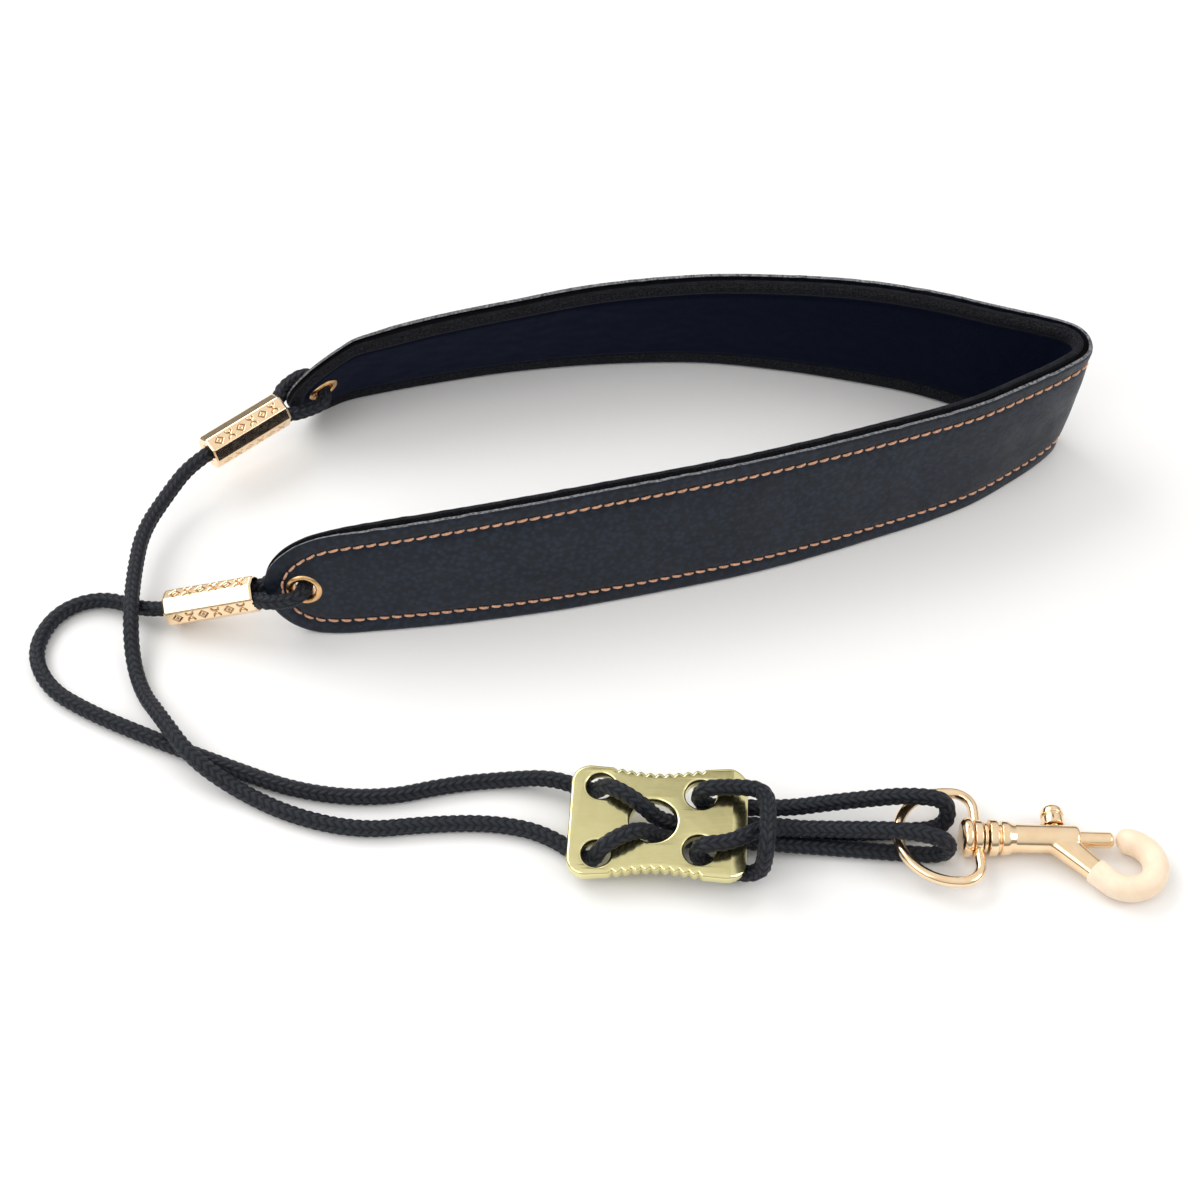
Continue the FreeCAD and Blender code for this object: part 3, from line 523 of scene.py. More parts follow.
def pad_thickness(place):
    end = min(place, PAD_LENGTH - place)
    share = max(0.0, min(1.0, (end - FLAT_END) / SWELL_LENGTH))
    return NOSE_THICK + (PAD_THICK - NOSE_THICK) * share


def pad_station(place):
    """Foot of the pad's middle surface, its inward normal and its upward direction."""
    def point(s):
        return Vector((hermite(PAD_TABLE, PAD_X, s), hermite(PAD_TABLE, PAD_Y, s), 0.0))

    along = (point(place + 0.01) - point(place - 0.01)).normalized()
    inward = Vector((-along.y, along.x, 0.0))
    lean = math.radians(hermite(PAD_TABLE, PAD_LEAN, max(0.0, min(PAD_LENGTH, place))))
    up = Vector((0, 0, math.cos(lean))) + inward * math.sin(lean)
    normal = inward * math.cos(lean) - Vector((0, 0, math.sin(lean)))
    half = PAD_WIDTH / 2
    lift = (half * math.cos(lean) + pad_thickness(place) / 2 * abs(math.sin(lean))
            + FOOT_CLEARANCE)
    return point(place) + Vector((0, 0, lift)) - up * half, normal, up


def nose_share(end, length):
    """Share of the full height left at a distance from the pad's end: a quarter ellipse."""
    reach = max(0.0, length - end) / (length + NOSE_TIP)
    return math.sqrt(max(0.0, 1 - reach ** 2))


def pad_edges(end):
    """Heights of the lower and upper edge across the pad: rounded noses, long tapers."""
    low = EYELET_HEIGHT * nose_share(end, LOWER_NOSE)
    taper = min(1.0, max(0.0, end) / TAPER_LENGTH)
    rise = NOSE_RISE * nose_share(end, UPPER_NOSE) + TAPER_RISE * math.sin(math.pi / 2 * taper)
    return EYELET_HEIGHT - low, EYELET_HEIGHT + rise


def turn_to(x, y):
    """The turn that takes local X and Y to two directions at right angles."""
    return Matrix((x, y, x.cross(y))).transposed().to_4x4()


class Eyelet:
    """An end eyelet and the direction in which its ferrule hangs."""

    def __init__(self, place, strand):
        foot, self.normal, up = pad_station(place)
        self.centre = foot + up * EYELET_HEIGHT
        self.strand = Vector(strand).normalized()
        self.axis = (self.normal - self.strand * self.normal.dot(self.strand)).normalized()
        self.in_plane = (self.strand - self.normal * self.strand.dot(self.normal)).normalized()
        self.half_thick = pad_thickness(place) / 2

    def along(self, distance, aside=0.0):
        return self.centre + self.strand * distance + self.axis * aside

    def ferrule_frame(self):
        """Local X along the ferrule from its mouth, local Y along the loop's spread."""
        return (TABLE @ Matrix.Translation(self.along(FERRULE_MOUTH))
                @ turn_to(self.strand, self.axis))

    def hole_frame(self):
        """Local X along the hole's axis, from the outer face inwards."""
        return TABLE @ Matrix.Translation(self.centre) @ turn_to(self.normal, self.in_plane)


FERRULE_MOUTH = 13.4
FERRULE_LENGTH = 24.8
FERRULE_POCKET = 3.0
NEAR = Eyelet(EYELET_SET_BACK, (-0.965, 0.02, -0.261))
FAR = Eyelet(PAD_LENGTH - EYELET_SET_BACK, (-0.765, -0.64, -0.08))

PLATE = (Matrix.Translation((1.9, -76.6, 7.9)) @ Matrix.Rotation(math.radians(-3.5), 4, "Z")
         @ Matrix.Rotation(math.radians(8.0), 4, "X")
         @ Matrix.Rotation(math.radians(-2.5), 4, "Y"))
HOOK = TABLE @ Matrix.Translation((74.9, -78.6, 5.1)) @ Matrix.Rotation(math.radians(2.2), 4, "Y")


def on_plate(*places):
    """Points given in the plate's frame."""
    return [tuple(PLATE @ Vector(place)) for place in places]


# -------- camera, light and floor

def make_camera():
    data = bpy.data.cameras.new("camera")
    data.sensor_fit = "HORIZONTAL"
    data.sensor_width = 36.0
    data.lens = 66.0
    data.clip_start = 0.01
    camera = add_object("camera", data)
    camera.location = in_scene((-12.0, -391.0, 437.44))
    camera.rotation_euler = (math.radians(42.0), 0.0, 0.0)
    SCENE.camera = camera


def add_light(name, place, size, power):
    """A soft panel light that faces the middle of the scene."""
    data = bpy.data.lights.new(name, "AREA")
    data.shape = "RECTANGLE"
    data.size, data.size_y = size
    data.energy = power
    light = add_object(name, data)
    light.location = place
    light.rotation_euler = (-Vector(place)).to_track_quat("-Z", "Y").to_euler()


# Brightness of the surroundings from straight below to straight above.
SKY = [(0.0, 0.8), (0.46, 0.75), (0.51, 0.23), (0.6, 0.28), (0.72, 0.85), (1.0, 1.0)]


def make_studio():
    add_light("key", (-0.8, 0.66, 0.95), (1.2, 0.9), 9.5)
    add_light("fill", (-0.7, -0.55, 0.75), (0.8, 0.8), 3.0)
    add_light("side", (0.85, -0.25, 0.55), (0.5, 0.5), 2.0)
    world = bpy.data.worlds.new("studio")
    SCENE.world = world
    world.use_nodes = True
    sky = Nodes(world.node_tree)
    direction = sky.add("TexCoord", "Generated", {})
    height = sky.add("SeparateXYZ", "Z", {"Vector": direction})
    glow = sky.stops(sky.share(height, -1.0, 1.0),
                     [(place, (grey, grey * 0.985, grey * 0.96)) for place, grey in SKY])
    # A small dark card behind the plate, for the dark corner of its polish.
    card = Vector((-0.007, 0.465, 0.885)).normalized()
    toward = sky.add("VectorMath", "Value", {0: direction, 1: card}, operation="DOT_PRODUCT")
    on_card = sky.share(toward, math.cos(math.radians(7.5)), math.cos(math.radians(6.8)))
    sky.give(world.node_tree.nodes["Background"], {
        "Color": sky.mix(on_card, glow, (0.17, 0.16, 0.12, 1)),
        "Strength": 0.95,
    })


def make_floor(half=3000):
    look = Look("floor_white")
    material = look.done({
        "Base Color": look.ramp(look.noise(6.0, 2.0), 0.88, 0.91),
        "Roughness": 0.6,
    })
    corners = [(-half, -half, 0), (half, -half, 0), (half, half, 0), (-half, half, 0)]
    add_mesh("floor", corners, [(0, 1, 2, 3)], material, Matrix.Identity(4))


make_camera()
make_studio()
make_floor()

# -------- cords

CORD_DIAMETER = 4.0
FLOOR = CORD_DIAMETER / 2 + 0.1
CORD_END = FERRULE_MOUTH + FERRULE_LENGTH - FERRULE_POCKET + 0.05
STRAIGHT_OUT = 44.0

# The same route as in the CAD model: stretches of one long cord in the order it runs.
CORD = [
    ("near_cord_ferrule_end", [
        tuple(NEAR.along(CORD_END)), tuple(NEAR.along(STRAIGHT_OUT)), (-144.5, 2, 2.4),
        (-156, -3.2, FLOOR), (-160, -17, FLOOR), (-154, -29.5, FLOOR),
        (-142, -37.5, FLOOR),
    ]),
    ("near_cord_plate_end", [
        (-127, -45, FLOOR), (-106, -54.5, FLOOR), (-86, -63, FLOOR),
        (-66, -65, FLOOR), (-49, -60.5, FLOOR), (-36, -59, FLOOR),
        *on_plate((-26.5, 14.4, -4.4)),
    ]),
    ("weave_upper_cord", on_plate(
        (-16.2, 10, -4.3), (-12.8, 8.4, 4.2), (-4.2, 3.3, 4.2), (0.9, 2.15, -4.1),
        (12, 2.4, -3.9),
    )),
    ("upper_bight_cord", [
        *on_plate((23, 2.4, -3.9)), (35, -73.9, 2.6), (47, -75.2, FLOOR),
        (60, -74.8, FLOOR), (72.2, -73.9, FLOOR), (72.3, -71.4, 10.6), (62.5, -69.9, 10.2),
        (53.5, -68.8, 7.4), (44, -69, 6), (34.5, -70, 5.2),
    ]),
    ("wrap_cord", on_plate(
        (20, 7.1, -4), (9.8, 7.4, -4.3), (9.8, 7.5, 4.4), (18.2, 8.2, 4.4), (25.8, 7.2, 5.2),
        (26.6, -1, 7.2), (26.3, -9.2, 6.3), (25, -11.6, -4.4),
    )),
    ("lower_edge_cord", on_plate(
        (9.9, -8.2, -4.4), (9.8, -7.5, 4.3), (17.4, -6.9, 4.2), (23.6, -3.2, 4),
        (27.6, 0.4, -1.4),
    )),
    ("lower_bight_cord", [
        (38, -77.2, 6.5), (49, -78.2, 7.6), (60.5, -80.2, 10.2), (71.4, -83.4, 10.6),
        (71.4, -82, FLOOR), (60, -81.2, FLOOR), (48, -80, FLOOR), (36, -79.2, 2.5),
    ]),
    ("weave_lower_cord", on_plate(
        (23, -2.2, -3.9), (12, -2.2, -3.9), (0.9, -2.15, -4.1), (-4.2, -3.3, 4.2),
        (-13, -8.6, 4.2), (-15.6, -9.6, -4),
    )),
    ("far_cord_plate_end", [
        *on_plate((-27, -1.4, -4.3)), (-38, -72.2, FLOOR), (-54, -72.6, FLOOR),
        (-70, -74.6, FLOOR), (-86.5, -70.5, FLOOR), (-101, -62.7, FLOOR),
        (-113.3, -55.7, 6.6), (-122.7, -42.3, 6.6), (-129.5, -31, 2.15),
    ]),
    ("far_cord_ferrule_end", [
        (-133.2, -20.8, 3.7), (-134.8, -9, 7.7), (-135.8, 5.5, 7.9), (-135.6, 20.5, 8.2),
        (-130.6, 34, 8.6), tuple(FAR.along(STRAIGHT_OUT)), tuple(FAR.along(CORD_END)),
    ]),
]
PLATE_CORDS = ("weave_upper_cord", "wrap_cord", "lower_edge_cord", "weave_lower_cord")


def spline_points(route):
    """Points on the smooth spline that takes a route's points as its control points."""
    curve = bpy.data.curves.new("route", "CURVE")
    curve.dimensions = "3D"
    curve.resolution_u = 24
    spline = curve.splines.new("NURBS")
    spline.points.add(len(route) - 1)
    for point, place in zip(spline.points, route):
        point.co = (*in_scene(place), 1)
    spline.order_u = 3
    spline.use_endpoint_u = True
    obj = bpy.data.objects.new("route", curve)
    mesh = bpy.data.meshes.new_from_object(obj)
    points = np.array([vertex.co for vertex in mesh.vertices], float) / MM
    bpy.data.meshes.remove(mesh)
    bpy.data.objects.remove(obj)
    bpy.data.curves.remove(curve)
    return points


def evenly(points, spacing=0.2):
    """The same line with points at even distances, and its length."""
    steps = np.linalg.norm(np.diff(points, axis=0), axis=1)
    points = points[np.concatenate([[True], steps > 1e-6])]
    travel = travelled(points)
    count = max(8, int(round(travel[-1] / spacing)))
    return at_distance(np.linspace(0.0, travel[-1], count + 1), travel, points), travel[-1]


def halfway(one, other):
    return tuple((a + b) / 2 for a, b in zip(one, other))


STITCH = 2.1
COLUMNS = 8
AROUND_CORD = 48
RELIEF = 0.42


def braid(node, points, frames, travel, body):
    """A braided tube: eight columns of slanting stitches that lean left and right in turn."""
    angles = circle(AROUND_CORD)
    column = angles / (2 * math.pi) * COLUMNS
    across = column % 1.0
    lean = np.where(np.floor(column) % 2 == 0, 1.0, -1.0)
    place = (travel[:, None] / STITCH + (lean * (across - 0.5) * 0.8)[None, :]) % 1.0
    bow = 0.25 + 0.75 * np.sin(math.pi * across) ** 0.8
    lobe = np.sin(math.pi * place) ** 0.8 * bow[None, :]
    wobble = rng.normal(0.0, 0.012, lobe.shape)
    radius = CORD_DIAMETER / 2 - RELIEF * 0.68 + RELIEF * lobe + wobble
    verts = rings(points, *frames, radius * np.cos(angles), radius * np.sin(angles))
    faces = grid_faces(len(points), AROUND_CORD)
    faces += [face[::-1] for face in end_faces(len(points), AROUND_CORD)]
    piece = add_mesh("braid_" + node, verts, faces, CORD_LOOK, Matrix.Identity(4))
    # The relief's height, which the cord's look turns into painted highlight and shade.
    set_attribute(piece, "crest", lobe)
    set_attribute(piece, "fibre", place * 34.0)
    return put(piece, body, node)


def make_long_cord():
    """The long cord's stretches, cut from one line so that the braid runs on across them."""
    lines = []
    for index, (node, points) in enumerate(CORD):
        route = list(points)
        if index > 0:
            route.insert(0, halfway(CORD[index - 1][1][-1], points[0]))
        if index < len(CORD) - 1:
            route.append(halfway(points[-1], CORD[index + 1][1][0]))
        lines.append((node, *evenly(spline_points(route))))
    whole = np.concatenate([lines[0][1]] + [line[1:] for _, line, _ in lines[1:]])
    frames = sweep_frames(whole)
    travel = travelled(whole)
    pieces = {}
    start = 0
    for node, line, length in lines:
        part = slice(start, start + len(line))
        pieces[node] = braid(node, whole[part], [f[part] for f in frames], travel[part],
                             "adjuster" if node in PLATE_CORDS else None)
        start += len(line) - 1
    return pieces


def make_loop(side, eyelet):
    """The short loop that hangs a ferrule in its eyelet."""
    legs = [[
        eyelet.along(16.35, sign * 2.12),
        eyelet.along(13.2, sign * 2.15),
        eyelet.centre + eyelet.in_plane * 9.6 + eyelet.normal * sign * 4.7,
        eyelet.centre + eyelet.normal * sign * 5.4,
    ] for sign in (-1, 1)]
    line, length = evenly(spline_points(legs[0] + legs[1][::-1]))
    piece = braid(side + "_eyelet_loop", line, sweep_frames(line),
                  np.linspace(0.0, length, len(line)), side + "_ferrule_body")


cords = make_long_cord()
make_loop("near", NEAR)
make_loop("far", FAR)

# Free cords between two bodies; each row gives the cord, the two bodies, and where the bend
# starts and where it ends. Only each cord's placement is baked into its mesh here.
BENDS = [
    ("near_cord_ferrule_end", "near_ferrule_body", "strap", (-127, -4, 4),
     (-142.5, -34, 2.1)),
    ("far_cord_ferrule_end", "strap", "far_ferrule_body", (-136, 8, 8),
     (-120, 47, 11)),
    ("near_cord_plate_end", "strap", "adjuster", (-125, -60, 2.1), (-24, -60, 2.1)),
    ("far_cord_plate_end", "strap", "adjuster", (-120, -60, 2.1), (-26, -60, 2.1)),
    ("upper_bight_cord", "adjuster", "cord_bights", (26, -76, 2.1), (56, -76, 2.1)),
    ("lower_bight_cord", "adjuster", "cord_bights", (26, -76, 2.1), (56, -76, 2.1)),
]
for node, one, other, start, end in BENDS:
    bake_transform(cords[node])


# -------- neck pad

PAD_ACROSS = 65
NOSE_ZONE = 16.0
HOLE_CLEARING = 3.7
HOLE_REACH = 8.0
STITCH_IN = 4.7
STITCH_PITCH = 3.25
STITCH_LENGTH = 2.45
THREAD_R = 0.36


def ripple(place, height, seed, size, reach=1.0):
    """Smooth noise over the unrolled pad, between -1 and 1; reach stretches it lengthwise."""
    return soft_noise.noise(Vector((place / (size * reach), height / size, seed)))


def pad_grid(across):
    """Places along and shares across the pad, closer together at the noses and the edges."""
    nose = [-NOSE_TIP + (NOSE_ZONE + NOSE_TIP) * (k / 30) ** 2 for k in range(30)]
    middle = np.linspace(NOSE_ZONE, PAD_LENGTH - NOSE_ZONE, 420)
    even = np.linspace(0, 1, across)
    return (nose + list(middle) + [PAD_LENGTH - place for place in nose[::-1]],
            (1 - np.cos(even * math.pi)) / 2 * 0.7 + even * 0.3)


def mirrored(left):
    """Points of the unrolled pad's left half, then their mirror images."""
    return np.concatenate([left, (left * (-1, 1) + (PAD_LENGTH, 0))[::-1]])


def outline_points():
    """The pad's outline unrolled flat: distance along it and height across it."""
    ends = np.concatenate([-NOSE_TIP + 20.0 * np.linspace(0, 1, 400) ** 2,
                           np.linspace(19.55, PAD_LENGTH / 2, 2200)])
    low, high = np.array([pad_edges(end) for end in ends]).T
    return mirrored(np.concatenate([np.stack([ends, low], axis=1)[::-1],
                                    np.stack([ends, high], axis=1)]))


OUTLINE = outline_points()
OUTLINE_TREE = KDTree(len(OUTLINE))
for index, (place, height) in enumerate(OUTLINE):
    OUTLINE_TREE.insert((place, height, 0.0), index)
OUTLINE_TREE.balance()


def depth_in(place, height):
    """Distance of a point of the unrolled pad from its outline."""
    return OUTLINE_TREE.find((place, height, 0.0))[2]


def leather_swell(depth, place, height):
    """Height of the leather over its flat sheet: pulled in at the seam, padded inside it."""
    pulled = -0.42 * hump(depth, STITCH_IN, 1.0)
    padded = 0.42 * np.clip((depth - STITCH_IN - 0.8) / 7.0, 0, 1) ** 0.6
    rolled = -0.35 * hump(depth, 0.0, 0.5)
    return pulled + padded + rolled + 0.10 * ripple(place, height, 3.0, 9.0, 1.6)


def lining_swell(depth, place, height):
    """The lining puffs between its edge and its seam and lies in soft folds inside it."""
    puffed = 0.80 * hump(depth, 2.0, 1.6)
    pulled = -0.50 * hump(depth, LINING_SEAM, 0.8)
    rolled = -0.60 * hump(depth, 0.0, 0.5)
    inside = np.clip((depth - LINING_SEAM) / 4.0, 0, 1)
    folds = 0.30 * ripple(place, height * 0.6, 8.0, 7.0) + 0.15 * ripple(place, height, 5.0, 3.2)
    return puffed + pulled + rolled + inside * folds


def foam_swell(depth, place, height):
    """Open-cell foam, cut straight and a little ragged."""
    return 0.08 * ripple(place, height, 2.0, 1.5)


def pad_sheet(name, node, looks, face, back, swell, sign, inset, across=PAD_ACROSS):
    """A closed sheet of the pad: a shaped side, a flat hidden side and a cut edge between."""
    places, shares = pad_grid(across)
    rows = len(places)
    shaped = np.empty((rows, across, 3))
    hidden = np.empty((rows, across, 3))
    depths = np.empty((rows, across))
    for i, place in enumerate(places):
        low, high = pad_edges(min(place, PAD_LENGTH - place))
        ragged = min(1.0, (high - low) / 20.0)
        low += (inset + 0.12 * ripple(place, 0.0, sign + 20.0, 2.5)) * ragged
        high -= (inset + 0.22 * ripple(place, 0.0, sign + 30.0, 3.5)) * ragged
        foot, normal, up = (np.array(v) for v in pad_station(place))
        scale = pad_thickness(place) / PAD_THICK
        for j, share in enumerate(shares):
            height = low + (high - low) * share
            depths[i, j] = depth_in(place, height)
            lift = face * scale + swell(depths[i, j], place, height)
            shaped[i, j] = foot + up * height + normal * sign * lift
            hidden[i, j] = foot + up * height + normal * sign * back * scale
    count = rows * across
    front = grid_faces(rows, across, False)
    rear = [tuple(count + k for k in quad)[::-1] for quad in front]
    rim = []
    for a in range(0, count - across, across):
        b = a + across
        rim.append((a, b, b + count, a + count))
        a, b = a + across - 1, b + across - 1
        rim.append((b, a, a + count, b + count))
    obj = add_mesh(name, np.stack([shaped, hidden]), front + rear + rim, looks[0])
    obj.data.materials.append(looks[1])
    obj.data.polygons.foreach_set("material_index",
                                  [0] * (len(front) + len(rear)) + [1] * len(rim))
    set_attribute(obj, "depth", np.stack([depths, depths]))
    tidy(obj, 55)
    open_hole(obj, NEAR)
    open_hole(obj, FAR)
    put(obj, "strap", node)


def open_hole(obj, eyelet):
    """Clear the sheet round an eyelet; the eyelet's flanges cover the cut."""
    def covered(face):
        away = face.calc_center_median() / MM - eyelet.centre - TO_ORIGIN
        across = away - eyelet.normal * away.dot(eyelet.normal)
        return across.length < HOLE_CLEARING and away.length < HOLE_REACH

    with edited(obj) as bm:
        bmesh.ops.delete(bm, geom=[face for face in bm.faces if covered(face)], context="FACES")


pad_sheet("pad_leather_skin", "pad_leather", (LEATHER, RAW_EDGE),
          PAD_THICK / 2, 1.05, leather_swell, -1, 0.15)
pad_sheet("pad_foam_core", "pad_foam", (FOAM, FOAM), 1.0, -0.55, foam_swell, -1, 1.3, 33)
pad_sheet("pad_lining_skin", "pad_lining", (LINING, LINING_EDGE),
          PAD_THICK / 2 - 0.1, 0.6, lining_swell, 1, 0.0)


def seam_height(end, edge, middle):
    """Height at which the seam runs, searched between an edge and the pad's middle."""
    for _ in range(16):
        guess = (edge + middle) / 2
        if depth_in(end, guess) < STITCH_IN:
            edge = guess
        else:
            middle = guess
    return middle


def seam():
    """The seam's line all the way round the unrolled pad."""
    lower, upper = [], []
    for end in np.concatenate([np.linspace(0.0, 20.0, 160),
                               np.linspace(20.2, PAD_LENGTH / 2, 400)]):
        low, high = pad_edges(end)
        middle = (low + high) / 2
        if depth_in(end, middle) >= STITCH_IN:
            lower.append((end, seam_height(end, low, middle)))
            upper.append((end, seam_height(end, high, middle)))
    path = mirrored(np.array(lower[::-1] + upper))
    return np.concatenate([path, path[:1]])


def make_stitches(around=8, steps=7):
    """Copper stitches that dip into the leather at both ends."""
    path = seam()
    travel = travelled(path)
    share = np.linspace(0, 1, steps)
    waist = 0.45 + 0.55 * np.sin(math.pi * (np.arange(steps) + 0.6) / (steps + 0.2)) ** 0.5
    angles = circle(around)
    across = THREAD_R * waist[:, None] * np.cos(angles)
    upward = THREAD_R * waist[:, None] * np.sin(angles)
    stitch_faces = grid_faces(steps, around) + end_faces(steps, around)
    points, faces = [], []
    count = int(round(travel[-1] / STITCH_PITCH))
    for place in np.linspace(0, travel[-1], count, endpoint=False):
        length = STITCH_LENGTH + random.uniform(-0.15, 0.15)
        tilt = 0.30 + random.uniform(-0.08, 0.08)
        line = []
        for t in share:
            s, w = at_distance((place + (t - 0.5) * length) % travel[-1], travel, path)
            foot, normal, up = pad_station(s)
            rise = pad_thickness(s) / 2 - 0.42 + 0.30 * max(0.0, math.sin(math.pi * t)) ** 0.6
            line.append(foot + up * (w + (t - 0.5) * tilt) - normal * rise)
        line = np.array(line)
        faces += [tuple(len(points) * steps * around + k for k in face) for face in stitch_faces]
        points.append(rings(line, *sweep_frames(line), across, upward))
    put(tidy(add_mesh("pad_stitches", np.array(points), faces, THREAD)), "strap")


make_stitches()


# -------- eyelets and ferrules

def make_eyelet(side, eyelet):
    face = eyelet.half_thick
    place = eyelet.hole_frame()
    flange = lathe(side + "_eyelet_ring", [
        (face + 0.1, 3.4, 0), (-face + 0.1, 3.4, 0.1), (-face, 4.7, 0.1),
        (-face - 0.3, 4.75, 0.25), (-face - 0.85, 3.9, 0.7), (-face - 0.45, 2.98, 0.5),
        (0, 2.95, 0.5), (face + 0.3, 3, 0.2), (face + 0.55, 3.4, 0.15), (face + 0.1, 3.4, 0),
    ], EYELET_BRASS, place)
    put(flange, "strap", side + "_pad_eyelet")
    washer = lathe(side + "_eyelet_back", [
        (face, 3.42, 0), (face + 0.42, 3.45, 0.15), (face + 0.5, 4.1, 0.2),
        (face + 0.15, 4.6, 0.2), (face, 4.6, 0), (face, 3.42, 0),
    ], EYELET_BRASS, place)
    put(washer, "strap", side + "_eyelet_washer")


ORNAMENT_PITCH = 3.6
ENGRAVING = 0.30


def ornament(along, aside):
    """Generic engraving for a flat: lozenges and paired crescents in turn, from 0 to 1."""
    cell = (along / ORNAMENT_PITCH) % 2.0
    first = np.abs(cell - 0.5) * ORNAMENT_PITCH
    lozenge = first / 1.25 + np.abs(aside) / 1.15
    line = hump(lozenge, 1.0, 0.16) + hump(lozenge, 0.0, 0.32)
    second = (cell - 1.5) * ORNAMENT_PITCH
    bow = np.hypot(second, (np.abs(aside) - 1.35) * 1.1)
    crescent = hump(bow, 0.95, 0.2)
    dot = hump(np.hypot(second, aside), 0.0, 0.3)
    return np.clip(np.where(cell < 1.0, line, crescent + dot), 0, 1)


def make_ferrule(side, eyelet, half=4.65, around=8 * 22, steps=210):
    """Eight-sided ferrule with eased corners, engraved flats and open ends."""
    angles = circle(around)
    sector = (angles + math.pi / 8) % (math.pi / 4) - math.pi / 8
    flat = np.minimum(half / np.cos(sector), half * 1.062)
    facet = np.floor(((angles + math.pi / 8) % (2 * math.pi)) / (math.pi / 4)).astype(int)
    x = np.linspace(0.0, FERRULE_LENGTH, steps)
    grid_x, aside = np.meshgrid(x, half * np.tan(sector), indexing="ij")
    from_end = np.minimum(grid_x, FERRULE_LENGTH - grid_x)
    inside = np.clip((from_end - 1.3) / 0.3, 0, 1) * (facet % 2 == 0)
    inside *= np.clip((1.6 - np.abs(aside)) / 0.15, 0, 1)
    relief = inside * ornament(grid_x - FERRULE_LENGTH / 2, aside)
    radius = flat - ENGRAVING * relief - 0.30 * hump(from_end, 0.0, 0.3)
    mouth = np.array([(2.9, 0.05), (2.9, 4.1), (0.5, 4.22), (0.0, 4.35)])
    tail = np.array([(0.0, 2.6), (-0.5, 2.25), (-2.9, 2.15), (-2.9, 0.05)])
    rows = np.concatenate([mouth[:, 0], x, FERRULE_LENGTH + tail[:, 0]])
    radius = np.concatenate([np.tile(mouth[:, 1:], around), radius,
                             np.tile(tail[:, 1:], around)])
    obj = add_mesh(side + "_ferrule_shell", turned(rows, radius, around),
                   grid_faces(len(rows), around), ROSE_GOLD,
                   eyelet.ferrule_frame())
    # The engraving's depth, which the metal's look also uses to paint shade into the hollows.
    set_attribute(obj, "hollow", np.pad(relief, ((len(mouth), len(tail)), (0, 0))))
    tidy(obj, 50)
    put(obj, side + "_ferrule_body", side + "_ferrule")


for side, eyelet in (("near", NEAR), ("far", FAR)):
    make_eyelet(side, eyelet)
    make_ferrule(side, eyelet)


# -------- adjuster plate

PLATE_LENGTH = 43.0
PLATE_HALF = 15.0
PLATE_WAIST = 13.2
PLATE_CORNER = 4.0
PLATE_THICK = 3.0
TEETH = 10
TOOTH_PITCH = 2.3
TOOTH_DEPTH = 0.9
HOLES = [(-14.3, 9.2, 3.45), (-14.3, -9.2, 3.45), (-1.1, 0.0, 5.7), (10.2, 7.5, 3.8),
         (10.2, -7.5, 3.8)]
BEVEL = 0.75
BEVEL_START = 18.0
BEVEL_SLOPE = 0.40


def plate_outline():
    """Rounded corners, straight ends and two hollow waists with grip teeth."""
    tall = PLATE_HALF - BEVEL
    waist = PLATE_WAIST - BEVEL
    reach = PLATE_LENGTH / 2 - BEVEL - PLATE_CORNER
    turn = np.radians(np.linspace(0, 90, 17))
    top = [(reach + PLATE_CORNER * math.cos(a), tall - PLATE_CORNER * (1 - math.sin(a)))
           for a in turn]
    for step in range(6 * TEETH, -1, -1):
        x = TOOTH_PITCH * (step / 6 - TEETH / 2)
        rise = waist + (tall - waist) * (1 - math.cos(math.pi * x / reach)) / 2
        notch = TOOTH_DEPTH * 0.5 * (1 - math.cos(2 * math.pi * step / 6))
        top.append((x, rise - notch))
    top += [(-reach - PLATE_CORNER * math.sin(a), tall - PLATE_CORNER * (1 - math.cos(a)))
            for a in turn]
    return top + [(-x, -y) for x, y in top]


def plate_blank():
    """Points and faces of the plate with its holes and rounded rims, before its end bevel."""
    curve = bpy.data.curves.new("plate_outline", "CURVE")
    curve.dimensions = "2D"
    curve.fill_mode = "BOTH"
    curve.extrude = PLATE_THICK / 2 - BEVEL
    curve.bevel_depth = BEVEL
    curve.bevel_resolution = 5
    loops = [plate_outline()]
    for x, y, r in HOLES:
        loops.append([(x + (r + BEVEL) * math.cos(-a), y + (r + BEVEL) * math.sin(-a))
                      for a in circle(64)])
    for loop in loops:
        spline = curve.splines.new("POLY")
        spline.points.add(len(loop) - 1)
        for point, (x, y) in zip(spline.points, loop):
            point.co = (x, y, 0.0, 1.0)
        spline.use_cyclic_u = True
    obj = add_object("plate_outline", curve)
    mesh = made_mesh(obj)
    bpy.data.objects.remove(obj)
    return [tuple(v.co) for v in mesh.vertices], [tuple(p.vertices) for p in mesh.polygons]


